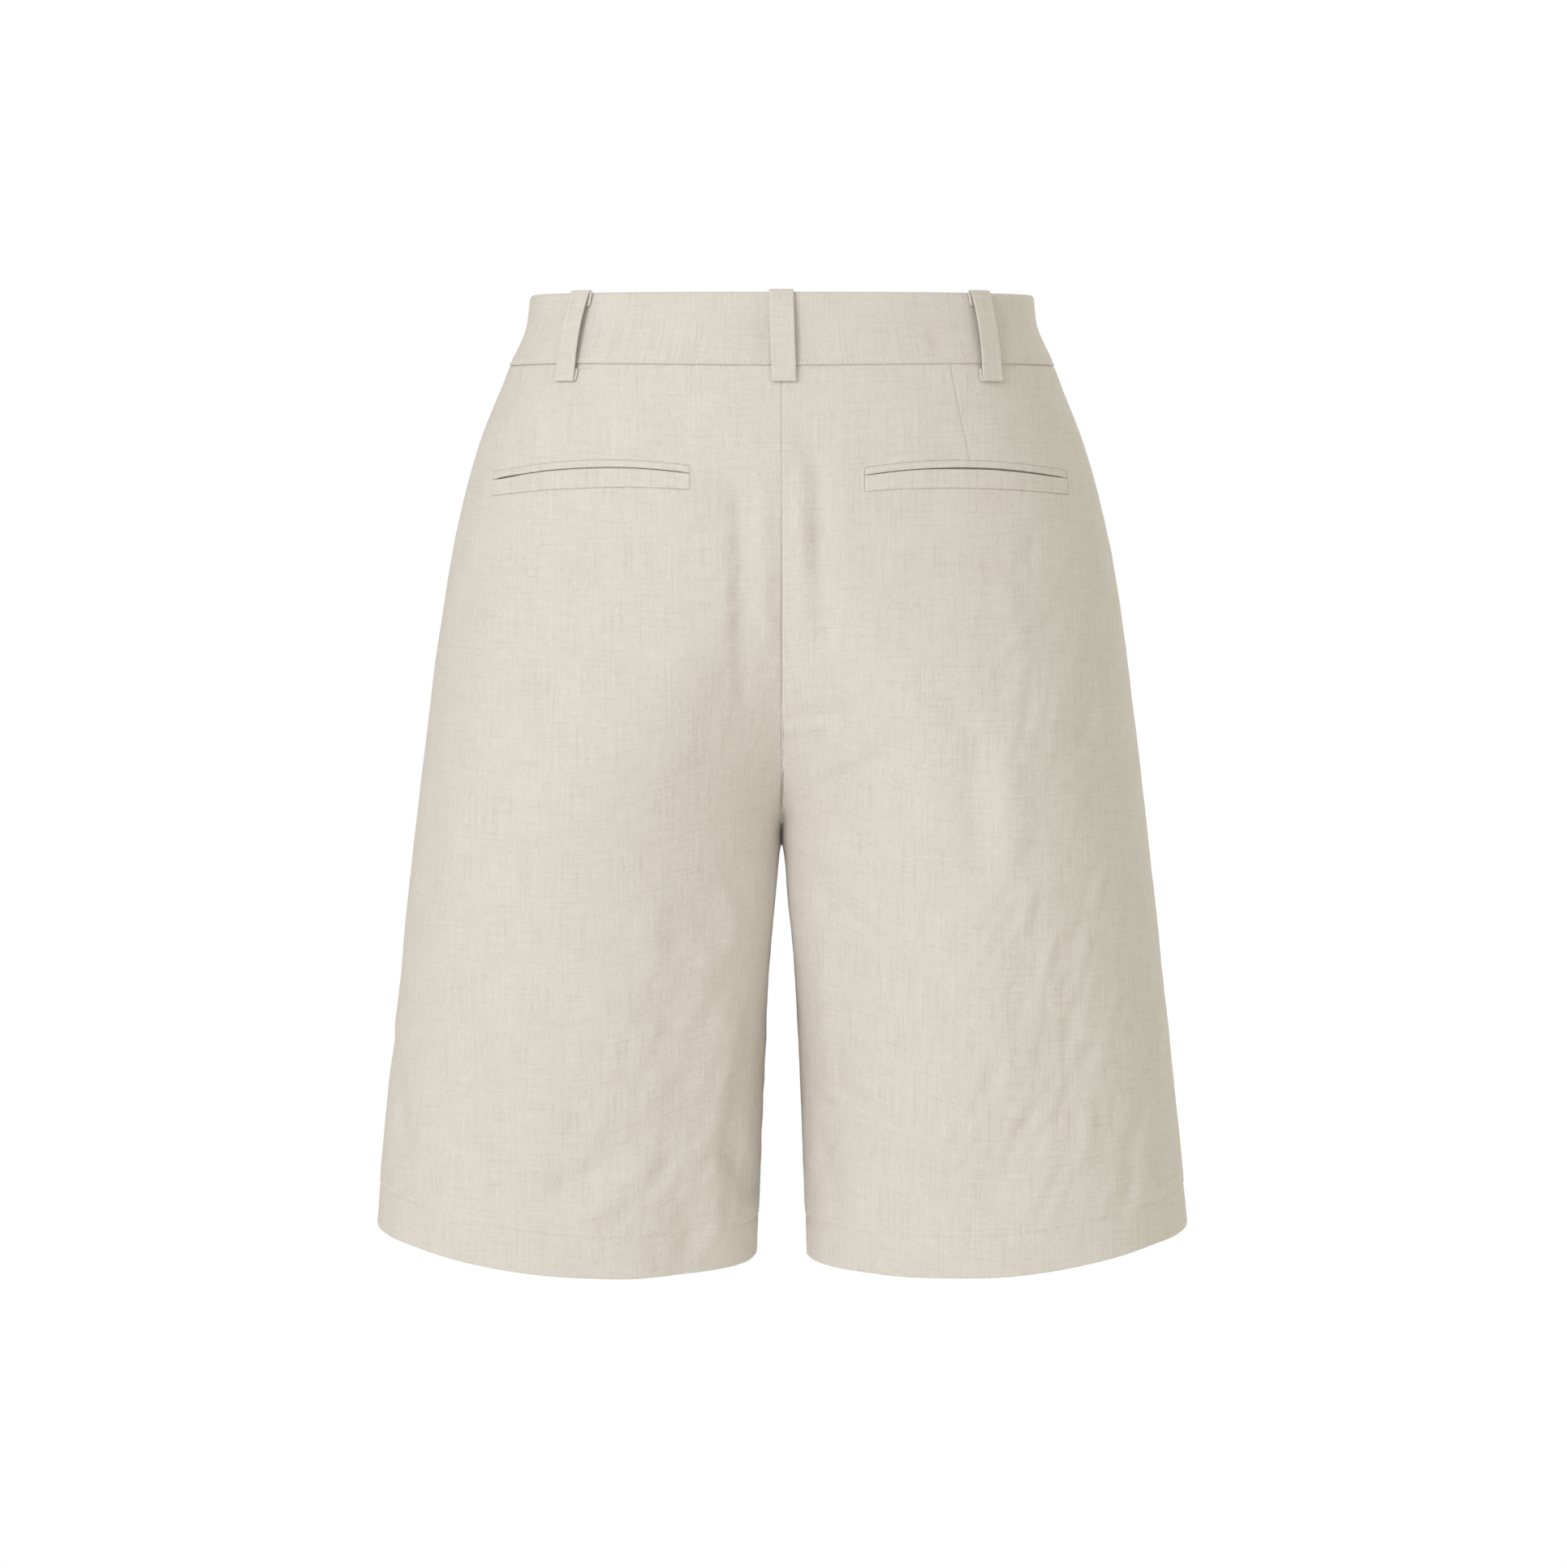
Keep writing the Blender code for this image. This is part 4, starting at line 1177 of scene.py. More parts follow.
    def place_at(
        self, x: Array, z: Array, lift: Array | float = 0.0, windowed: bool = True
    ) -> tuple[Array, Array]:
        """The same as place(), from distances from the middle and heights."""
        across = self.form.across_at(np.asarray(x, float), np.asarray(z, float), self.face)
        return self.place(z, across, lift, windowed)

    def height_at(self, row: Array, across: Array) -> Array:
        """Heights at places across the panel on any rows, whole or in between."""
        inner, side = (np.interp(row, np.arange(len(ends)), ends) for ends in self.rows())
        return self.heights(inner, side, across)

    def _refine(self, shape: bmesh.types.BMesh, where: Callable[[Array, Array], Array]) -> None:
        """Divide the faces whose middle lies where a finer mesh is needed."""
        tall = shape.verts.layers.float["tall"]
        wide = shape.verts.layers.float["wide"]
        faces = list(shape.faces)
        middles = np.array([
            [sum(v[layer] for v in face.verts) / len(face.verts) for layer in (tall, wide)]
            for face in faces
        ])
        base = self.form.point(self.height_at(*middles.T), middles[:, 1], self.face)
        wanted = where(base[:, 0], base[:, 2])
        edges = {edge for face, fine in zip(faces, wanted) if fine for edge in face.edges}
        ordered = sorted(edges, key=lambda edge: edge.index)
        bmesh.ops.subdivide_edges(shape, edges=ordered, cuts=3, use_grid_fill=True)
        shape.edges.index_update()

    def _weave(self, base: Array) -> tuple[Array, Array]:
        """Lengths along and down the cloth from the straight grain, as weave coordinates."""
        along = np.linalg.norm(np.diff(base, axis=1), axis=2)
        u = np.concatenate([np.zeros((len(base), 1)), np.cumsum(along, axis=1)], axis=1)
        grain = [np.interp(-self.grain, -x, lengths) for x, lengths in zip(base[..., 0], u)]
        down = np.linalg.norm(np.diff(base, axis=0), axis=2)
        v = np.concatenate([np.zeros((1, base.shape[1])), np.cumsum(down, axis=0)], axis=0)
        return u - np.array(grain)[:, None], v

    def build(self, finishes: Finishes) -> bpy.types.Object:
        """Make the panel: the outer cloth, then its thickness, with the hem's extra layers."""
        inner, side = self.rows()
        columns = self.columns()
        across = np.broadcast_to(columns, (len(inner), len(columns)))
        height = self.heights(inner[:, None], side[:, None], across)
        base = self.form.point(height, across, self.face)
        u, v = self._weave(base)

        shape = bmesh.new()
        tall = shape.verts.layers.float.new("tall")
        wide = shape.verts.layers.float.new("wide")
        weave = shape.loops.layers.uv.new(WEAVE_MAP)
        grid = []
        count = len(columns)
        for row in range(len(base)):
            for column in range(count):
                vert = shape.verts.new(base[row, column])
                vert[tall], vert[wide] = row, across[row, column]
                grid.append(vert)
        turned = self.side.value * self.face.value > 0
        for row in range(len(base) - 1):
            for column in range(count - 1):
                below, beside = row + 1, column + 1
                corners = [(row, column), (row, beside), (below, beside), (below, column)]
                if turned:
                    corners.reverse()
                face = shape.faces.new([grid[r * count + c] for r, c in corners])
                face.smooth = True
                for loop, (r, c) in zip(face.loops, corners):
                    loop[weave].uv = (u[r, c] + 1.3 * self.side.value, v[r, c] + self.face.value)
        shape.edges.index_update()
        for detail in filter(None, (self.pocket, self.dart)):
            self._refine(shape, detail.near)
        tall = shape.verts.layers.float["tall"]
        wide = shape.verts.layers.float["wide"]
        places = np.array([[vert[tall], vert[wide]] for vert in shape.verts])
        places[:, 0] = self.height_at(*places.T)
        mesh = bpy.data.meshes.new(self.name)
        shape.to_mesh(mesh)
        shape.free()
        points, _ = self.place(places[:, 0], places[:, 1])
        mesh.vertices.foreach_set("co", points.astype(np.float32).ravel())
        for name in ("tall", "wide"):
            mesh.attributes.remove(mesh.attributes[name])
        mesh.update()
        piece = new_object(f"{self.name}_cloth", mesh)
        self._thicken(piece, places)
        dress(piece, finishes.linen)
        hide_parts(self.name)
        return piece

    def _thicken(self, piece: bpy.types.Object, places: Array) -> None:
        """Give the cloth its thickness, with more layers at the hem and at the seam allowances."""
        height, across = places.T
        to_seam = np.minimum(*self.form.seam_distance(height, across, self.face))
        hem = height - self.hem_height(across)
        thick = np.where(to_seam < self.allowance, self.allowance_layers, self.cloth)
        thick = np.where(hem < HEM_DEPTH + 0.2 * MM, self.hem_layers, thick)
        thick -= self.hem_thinning * self.hem_edge(hem)
        group = piece.vertex_groups.new(name="layers")
        for index, share in enumerate(thick / self.hem_layers):
            group.add([index], float(share), "REPLACE")
        shell = {"thickness": self.hem_layers, "offset": -1.0, "use_even_offset": False}
        apply_modifier(piece, "SOLIDIFY", vertex_group="layers", **shell)
        piece.vertex_groups.clear()


@dataclass
class Waistband:
    """A length of waistband: two layers of linen and their interfacing, rounded at the top."""

    name: str
    face: Face
    start: float
    end: float
    form: BodyForm
    crumple: Crumple
    sunk: Callable[[Array], Array] | None = None
    creases: tuple[Crease, ...] = ()
    grid: float = 2.2 * MM
    # Height above the waist seam and distance outwards from the form, in millimetres.
    section: tuple[tuple[float, float], ...] = (
        *((0.15, -0.90), (0.12, -0.20), (0.28, 0.42), (0.75, 0.82), (1.40, 0.94)),
        *((1.90, 0.80), (2.35, 0.44), (2.80, 0.66), (3.60, 0.80)),
        *((float(height), 0.80) for height in range(5, 33, 3)),
        *((34.5, 0.80), (36.3, 0.74), (37.2, 0.52), (37.75, 0.14), (37.98, -0.40)),
        *((37.90, -0.95), (37.5, -1.38), (36.6, -1.62)),
        *((float(height), -1.70) for height in range(34, 9, -6)),
        *((5.0, -1.70), (1.5, -1.66), (0.4, -1.45)),
    )
    # The middle of the band's thickness, and how far from its ends it is rounded off.
    middle: float = -0.45 * MM
    end_round: float = 0.9 * MM
    # How far the top edge dips at the side seams, and over which angle beside them.
    side_dip: float = 1.3 * MM
    side_reach: float = 0.06
    # How much the interfaced band crumples, beside the plain cloth.
    crumpled: float = 0.8

    def height(self, above: Array, angle: Array) -> Array:
        """Heights on the band, from those above its lower edge in metres.

        The lower edge rises and falls a little, and the top dips at the side seams.
        """
        x = self.form.band(np.array(WAIST_SEAM), angle, self.face, np.array(0.0))[..., 0]
        share = np.clip(above / WAISTBAND_HEIGHT, 0, 1)
        lifted = seam_lift(x, self.face) * (1 - share)
        near_side = bell(np.minimum(angle, math.pi - angle), self.side_reach)
        return WAIST_SEAM + above + lifted - self.side_dip * share**3 * near_side

    def angles(self) -> Array:
        """Angles along the band, closer together at its two ends."""
        around = np.linspace(self.start, self.end, 400)
        points = self.form.band(np.array(0.0), around, self.face, np.array(0.0))
        lengths = lengths_along(points)
        fine = np.array([0, 0.12, 0.35, 0.7, 1.2]) * MM
        middle = np.linspace(0, lengths[-1], round(lengths[-1] / self.grid) + 1)[1:-1]
        wanted = np.concatenate([fine, middle, lengths[-1] - fine[::-1]])
        return np.interp(wanted, lengths, around)

    def offsets(self, height: Array, angle: Array, offset: Array) -> Array:
        """The distance outwards from the form, with the end's rounding, creases and crumple."""
        here, start, end = (
            self.form.band(height, place, self.face, 0.0 * angle)
            for place in (angle, np.full_like(angle, self.start), np.full_like(angle, self.end))
        )
        to_start = np.linalg.norm(here - start, axis=-1)
        to_end = np.minimum(to_start, np.linalg.norm(here - end, axis=-1))
        share = np.clip(to_end / self.end_round, 0, 1)
        rounding = np.sqrt(np.maximum(1 - (1 - share) ** 2, 0.06))
        total = self.middle + (offset - self.middle) * rounding
        near_seam = smooth_step((height - WAIST_SEAM) / (6 * MM))
        total = total + self.crumpled * self.crumple.raised(here) * near_seam
        for crease in self.creases:
            total = total + crease.raised(here[..., 0], here[..., 2])
        if self.sunk:
            total = total - self.sunk(angle)
        return total

    def place(self, above: Array, angle: Array) -> tuple[Array, Array]:
        """Points on the band's outer cloth above its lower edge, and their outward normals."""
        above, angle = np.broadcast_arrays(above, angle)
        outside = [row for row in self.section if row[1] > -0.1]
        offset = np.interp(above / MM, *zip(*outside)) * MM
        height = self.height(above, angle)
        offset = self.offsets(height, angle, offset)
        points = self.form.band(height, angle, self.face, offset)
        ways = points - self.form.band(height, angle, self.face, offset - MM)
        return points, ways / MM

    def build(self, finishes: Finishes) -> bpy.types.Object:
        """Make the band as a skin through rings of its cross-section."""
        angles = self.angles()
        section = np.array(self.section) * MM
        angle = np.broadcast_to(angles[:, None], (len(angles), len(section)))
        height = self.height(np.broadcast_to(section[:, 0], angle.shape), angle)
        offset = self.offsets(height, angle, np.broadcast_to(section[:, 1], height.shape))
        rings = self.form.band(height, angle, self.face, offset)
        u = lengths_along(rings[:, 5])
        v = lengths_along(np.concatenate([section, section[:1]]))
        uvs = np.stack(np.broadcast_arrays(u[:, None] + 0.37, v[None, :] + 0.21), axis=-1)
        return sewn_skin(f"{self.name}_cloth", self.name, rings, uvs, finishes)


def smooth_path(points: Sequence[tuple[float, float]], steps: int) -> Array:
    """A smooth line through points in a plane, with a number of steps between each two."""
    line = np.array(points, float)
    padded = np.concatenate([2 * line[:1] - line[1:2], line, 2 * line[-1:] - line[-2:-1]])
    found = []
    for at in range(1, len(padded) - 2):
        before, start, end, after = padded[at - 1 : at + 3]
        for t in np.linspace(0, 1, steps, endpoint=False):
            bend = (2 * before - 5 * start + 4 * end - after) * t**2
            twist = (3 * start - before - 3 * end + after) * t**3
            found.append(0.5 * (2 * start + (end - before) * t + bend + twist))
    found.append(line[-1])
    return np.array(found)


@dataclass
class BeltLoop:
    """A belt loop: a flat folded strip, turned under and sewn down at both its ends."""

    name: str
    face: Face
    top_x: float
    bottom_x: float
    form: BodyForm
    shift: float = 0.0
    width: float = 12.8 * MM
    thick: float = 1.0 * MM
    # Height and distance outwards from the form of the middle of the strip, in millimetres.
    path: tuple[tuple[float, float], ...] = (
        *((-20.6, 1.15), (-23.0, 1.15), (-25.3, 1.15), (-26.35, 1.35), (-26.65, 1.85)),
        *((-26.35, 2.30), (-25.3, 2.50), (-22.3, 2.65), (-19.3, 3.05), (-15.0, 3.75)),
        *((-9.0, 4.35), (1.0, 4.60), (8.0, 4.40), (13.5, 3.95), (17.3, 3.45)),
        *((19.1, 3.10), (19.80, 2.60), (19.75, 2.05), (19.0, 1.75), (16.0, 1.60), (12.0, 1.55)),
    )
    # Heights between which the strip leans from bottom_x to top_x; its tucked ends lie aside by
    # the shift.
    low: float = -28.5 * MM
    high: float = 20.2 * MM
    # Half the cross-section: millimetres in from the strip's edge, and shares of its thickness.
    edge: tuple[tuple[float, float], ...] = (
        (0.0, 0.0), (0.12, 0.62), (0.5, 0.97), (1.2, 1.06), (1.9, 0.86), (2.6, 1.02)
    )

    def across(self) -> Array:
        """The strip's cross-section: places across it and distances from its middle."""
        half, thick = self.width / 2, self.thick / 2
        left = [(-half + inwards * MM, share * thick) for inwards, share in self.edge]
        left.append((-2.0 * MM, thick))
        upper = left + [(-x, y) for x, y in left[::-1]]
        lower = [(x, -y) for x, y in upper[-2:0:-1]]
        return np.array(upper + lower)

    def frames(self) -> tuple[Array, Array, Array]:
        """Middle points of the strip, its outward ways and its ways along, down its path."""
        line = smooth_path(self.path, 3) * MM
        points, alongs = [], []
        for index, (height, offset) in enumerate(line):
            share = (height - self.low) / (self.high - self.low)
            tucked = index < 10 or index > len(line) - 14
            x = self.bottom_x + (self.top_x - self.bottom_x) * share + self.shift * tucked
            base, out, along = self.form.frame_at(x, min(height, WAIST_TOP), self.face)
            base.z = height
            points.append(base + Vector((out.x, out.y, 0)).normalized() * offset)
            alongs.append(along)
        points, alongs = np.array(points), np.array(alongs)
        ways = np.gradient(points, axis=0)
        outs = np.cross(ways, alongs)
        outs /= np.linalg.norm(outs, axis=1, keepdims=True)
        return points, outs, alongs

    def build(self, finishes: Finishes) -> bpy.types.Object:
        """Make the strip as a skin down its path."""
        points, outs, alongs = self.frames()
        section = self.across()
        rings = (
            points[:, None]
            + alongs[:, None] * section[None, :, :1]
            + outs[:, None] * section[None, :, 1:]
        )
        down = lengths_along(points)
        around = lengths_along(np.concatenate([section, section[:1]]))
        start = 0.11 + abs(self.top_x) * 3
        uvs = np.stack(np.broadcast_arrays(around[None, :] + start, down[:, None] + start), axis=-1)
        return sewn_skin(f"{self.name}_strip", self.name, rings, uvs, finishes)

    def edge_line(self, aside: float) -> tuple[Array, Array]:
        """Points and normals along the front of the strip, a distance aside from its middle."""
        points, outs, alongs = self.frames()
        shown = slice(15, len(points) - 15)
        facing = np.sign((outs[len(outs) // 2] * (0, self.face.value, 0)).sum())
        outs = outs * facing
        return points[shown] + alongs[shown] * aside + outs[shown] * self.thick * 0.46, outs[shown]


@dataclass
class Topstitching:
    """Rows of short raised stitches that lie on the cloth and dip into it at both their ends."""

    length: float = 1.35 * MM
    radius: float = 0.23 * MM
    pitch: float = 2.0 * MM
    dip: float = 0.18 * MM
    lift: float = 0.06 * MM
    verts: Array = field(init=False)
    faces: list[tuple[int, ...]] = field(init=False)

    def __post_init__(self) -> None:
        """Model one stitch: a small ball drawn out along X, with its ends bent down."""
        bpy.ops.object.select_all(action="DESELECT")
        bpy.ops.mesh.primitive_uv_sphere_add(segments=6, ring_count=4, radius=1.0)
        ball = bpy.context.object
        co = np.array([vert.co for vert in ball.data.vertices])[:, [2, 0, 1]]
        faces = [tuple(face.vertices) for face in ball.data.polygons]
        firsts = [face.index(min(face)) for face in faces]
        # Blender may list the ball's faces in any order, so they are put in one.
        self.faces = sorted(face[at:] + face[:at] for face, at in zip(faces, firsts))
        bpy.data.objects.remove(ball, do_unlink=True)
        self.verts = co * (self.length / 2, self.radius, self.radius)
        self.verts[:, 2] -= self.dip * co[:, 0] ** 2

    def sew(self, name: str, line: Array, normals: Array, finishes: Finishes) -> bpy.types.Object:
        """Sew a row of stitches along a line.

        Args:
            name: The row's name.
            line: Points on the cloth, close together.
            normals: The cloth's outward normals at those points.
            finishes: The garment's materials.

        Returns:
            The row as one object.
        """
        lengths = lengths_along(line)
        count = max(int(lengths[-1] / self.pitch), 1)
        places = (np.arange(count) + 0.5) * lengths[-1] / count

        def at(where: Array, rows: Array) -> Array:
            """What the rows of an array come to at any lengths from the line's start."""
            return np.stack([np.interp(where, lengths, column) for column in rows.T], axis=1)

        way = at(places + 0.5 * MM, line) - at(places - 0.5 * MM, line)
        way /= np.linalg.norm(way, axis=1, keepdims=True)
        out = at(places, normals)
        out -= way * (out * way).sum(axis=1, keepdims=True)
        out /= np.linalg.norm(out, axis=1, keepdims=True)
        aside = np.cross(out, way)
        verts = (
            at(places, line)[:, None]
            + way[:, None] * self.verts[None, :, :1]
            + aside[:, None] * self.verts[None, :, 1:2]
            + out[:, None] * (self.verts[None, :, 2:] + self.lift)
        )
        starts = range(0, len(self.verts) * count, len(self.verts))
        faces = [tuple(index + start for index in face) for start in starts for face in self.faces]
        row = mesh_object(name, verts.reshape(-1, 3).tolist(), faces)
        dress(row, finishes.thread)
        return row


@dataclass
class PocketPiece:
    """The welt or the lip of a back pocket: a folded strip that fills its part of the window."""

    # The cross-sections, from one edge of the strip over its face to the other and round the back:
    # share of the strip's height, millimetres past that, and millimetres out of the panel.
    WELT: ClassVar = (
        *((0.0, 0.05, -0.80), (0.0, 0.08, -0.16), (0.0, 0.28, 0.14), (0.0, 0.80, 0.27)),
        *((0.0, 1.60, 0.30), (0.35, 0.0, 0.30), (0.65, 0.0, 0.32), (1.0, -1.40, 0.36)),
        *((1.0, -0.70, 0.30), (1.0, -0.25, 0.05), (1.0, -0.02, -0.45), (1.0, 0.0, -0.95)),
        *((1.0, -0.40, -1.35), (0.0, 0.50, -1.20)),
    )
    LIP: ClassVar = (
        *((0.0, 0.0, -0.95), (0.0, 0.02, -0.40), (0.0, 0.22, 0.02), (0.0, 0.60, 0.22)),
        *((0.5, 0.0, 0.26), (1.0, -0.60, 0.24), (1.0, -0.22, 0.12), (1.0, -0.06, -0.18)),
        *((1.0, -0.05, -0.80), (1.0, -0.40, -1.20), (0.0, 0.40, -1.35)),
    )
    # How far the strip reaches under the window's edge, and how its face dips at its two ends.
    TUCK: ClassVar = 0.02 * MM
    END_DIP: ClassVar = 0.50 * MM
    END_REACH: ClassVar = 0.8 * MM

    pocket: BackPocket
    panel: LegPanel
    lower: bool

    def build(self, finishes: Finishes) -> bpy.types.Object:
        """Make the strip as a skin through rings along the pocket."""
        pocket = self.pocket
        steps = round((pocket.outer_x - pocket.inner_x) / (1.6 * MM))
        fine = np.array([0, 0.15, 0.4, 0.8]) * MM
        middle = np.linspace(pocket.inner_x, pocket.outer_x, steps + 1)[1:-1]
        x = np.concatenate([pocket.inner_x + fine, middle, pocket.outer_x - fine[::-1]])
        gape = pocket.gape(x)
        if self.lower:
            low, high = -pocket.slit / 2 - pocket.depth(x) - self.TUCK, -gape
        else:
            low, high = gape, np.full_like(x, pocket.slit / 2 + pocket.lip + self.TUCK)
        plan = self.WELT if self.lower else self.LIP
        share, extra, out = np.array(plan).T * [[1], [MM], [MM]]
        rise = low[:, None] + (high - low)[:, None] * share + extra
        to_end = np.minimum(x - pocket.inner_x, pocket.outer_x - x)[:, None]
        end_dip = self.END_DIP * (1 - np.clip(to_end / self.END_REACH, 0, 1)) ** 2
        lift = np.where(out > -0.6 * MM, out - end_dip, out)
        z = pocket.opening(x)[:, None] + rise
        across_x = np.broadcast_to(x[:, None], z.shape)
        points, _ = self.panel.place_at(across_x, z, lift, windowed=False)
        u = np.broadcast_to(x[:, None] + 0.5, (len(x), len(plan) + 1))
        steps_v = np.abs(np.diff(np.concatenate([rise, rise[:, :1]], axis=1), axis=1)) + 0.3 * MM
        v = np.concatenate([np.zeros((len(x), 1)), np.cumsum(steps_v, axis=1)], axis=1) + 0.8
        node = f"{pocket.name}_{'welt' if self.lower else 'lip'}"
        return sewn_skin(f"{node}_cloth", node, points, np.stack([u, v], axis=-1), finishes)


@dataclass
class WaistButton:
    """A turned four-hole button, sewn on with a crossed thread."""

    form: BodyForm
    radius: float = 9 * MM
    thick: float = 2.9 * MM
    dish: float = 0.8 * MM
    hole: float = 0.85 * MM
    hole_spacing: float = 1.75 * MM
    # How far the back of the button stands out from the form.
    stand: float = 1.25 * MM
    thread_lift: float = 0.35 * MM
    # Half the length and half the width of the buttonhole, and how far it stands out.
    buttonhole_half: float = 10.6 * MM
    buttonhole_rise: float = 0.85 * MM
    buttonhole_stand: float = 1.15 * MM

    def seat(self) -> Matrix:
        """Where the button sits: its middle on the band's cloth, its face outwards."""
        point, normal, along = self.form.frame_at(0.0, 0.0, Face.FRONT)
        turn = Matrix((along, normal.cross(along), normal)).transposed().to_4x4()
        return Matrix.Translation(point + normal * self.stand) @ turn

    def build(self, finishes: Finishes) -> bpy.types.Object:
        """Turn the button from a disc: dish its face, round its rim and drill its holes."""
        bpy.ops.object.select_all(action="DESELECT")
        bpy.ops.mesh.primitive_cylinder_add(
            vertices=64, radius=self.radius, depth=self.thick, location=(0, 0, self.thick / 2)
        )
        button = bpy.context.object
        button.name = "waist_button"
        bpy.ops.object.transform_apply(location=True)
        shape = bmesh.new()
        shape.from_mesh(button.data)
        top = max(shape.faces, key=lambda face: face.calc_center_median().z)
        for inwards, rise in ((1.7 * MM, 0), (0.9 * MM, -self.dish), (1.0 * MM, -0.05 * MM)):
            bmesh.ops.inset_individual(shape, faces=[top], thickness=inwards, depth=rise)
        joined = [edge for edge in shape.edges if len(edge.link_faces) == 2]
        rims = [edge for edge in joined if edge.calc_face_angle() > 0.4]
        bmesh.ops.bevel(shape, geom=rims, offset=0.55 * MM, segments=3, profile=0.6, affect="EDGES")
        shape.to_mesh(button.data)
        shape.free()
        for sx, sy in ((-1, -1), (-1, 1), (1, -1), (1, 1)):
            bpy.ops.object.select_all(action="DESELECT")
            place = (sx * self.hole_spacing / 2, sy * self.hole_spacing / 2, self.thick / 2)
            bpy.ops.mesh.primitive_cylinder_add(
                vertices=20, radius=self.hole / 2, depth=self.thick * 3, location=place
            )
            drill = bpy.context.object
            apply_modifier(button, "BOOLEAN", operation="DIFFERENCE", object=drill, solver="EXACT")
            bpy.data.objects.remove(drill, do_unlink=True)
        button.data.transform(self.seat())
        select_only(button)
        bpy.ops.object.shade_smooth_by_angle(angle=math.radians(35))
        dress(button, finishes.resin)
        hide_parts("button")
        return button

    def sewn(self, finishes: Finishes) -> bpy.types.Object:
        """The thread through the button's holes, as two crossed pairs of strands."""
        strands = Topstitching(length=2.9 * MM, radius=0.24 * MM, dip=0.9 * MM)
        seat = np.array(self.seat())
        verts, faces = [], []
        raised = (0, 0, self.thick - self.dish + self.thread_lift)
        for turn, aside in ((45, -0.22), (45, 0.22), (135, -0.22), (135, 0.22)):
            cos, sin = math.cos(math.radians(turn)), math.sin(math.radians(turn))
            spin = np.array([[cos, -sin, 0], [sin, cos, 0], [0, 0, 1]])
            local = (strands.verts + (0, aside * MM, 0)) @ spin.T + raised
            faces += [tuple(index + len(verts) for index in face) for face in strands.faces]
            verts += (local @ seat[:3, :3].T + seat[:3, 3]).tolist()
        thread = mesh_object("button_thread", verts, faces)
        dress(thread, finishes.thread)
        return thread

    def buttonhole(self, finishes: Finishes) -> bpy.types.Object:
        """The whipped edge of the buttonhole, which shows a little at both sides of the button."""
        half, rise = self.buttonhole_half, self.buttonhole_rise
        turns = np.linspace(-math.pi / 2, math.pi / 2, 12)
        end = np.stack([half + rise * np.cos(turns), rise * np.sin(turns)], axis=1)
        outline = np.concatenate([end, -end, end[:1]])
        frames = [self.form.frame_at(x, height, Face.FRONT) for x, height in outline]
        line = np.array([point + normal * self.buttonhole_stand for point, normal, _ in frames])
        normals = np.array([normal for _, normal, _ in frames])
        whip = Topstitching(length=0.80 * MM, radius=0.40 * MM, pitch=0.60 * MM, dip=0.05 * MM)
        return whip.sew("stitches_buttonhole", line, normals, finishes)


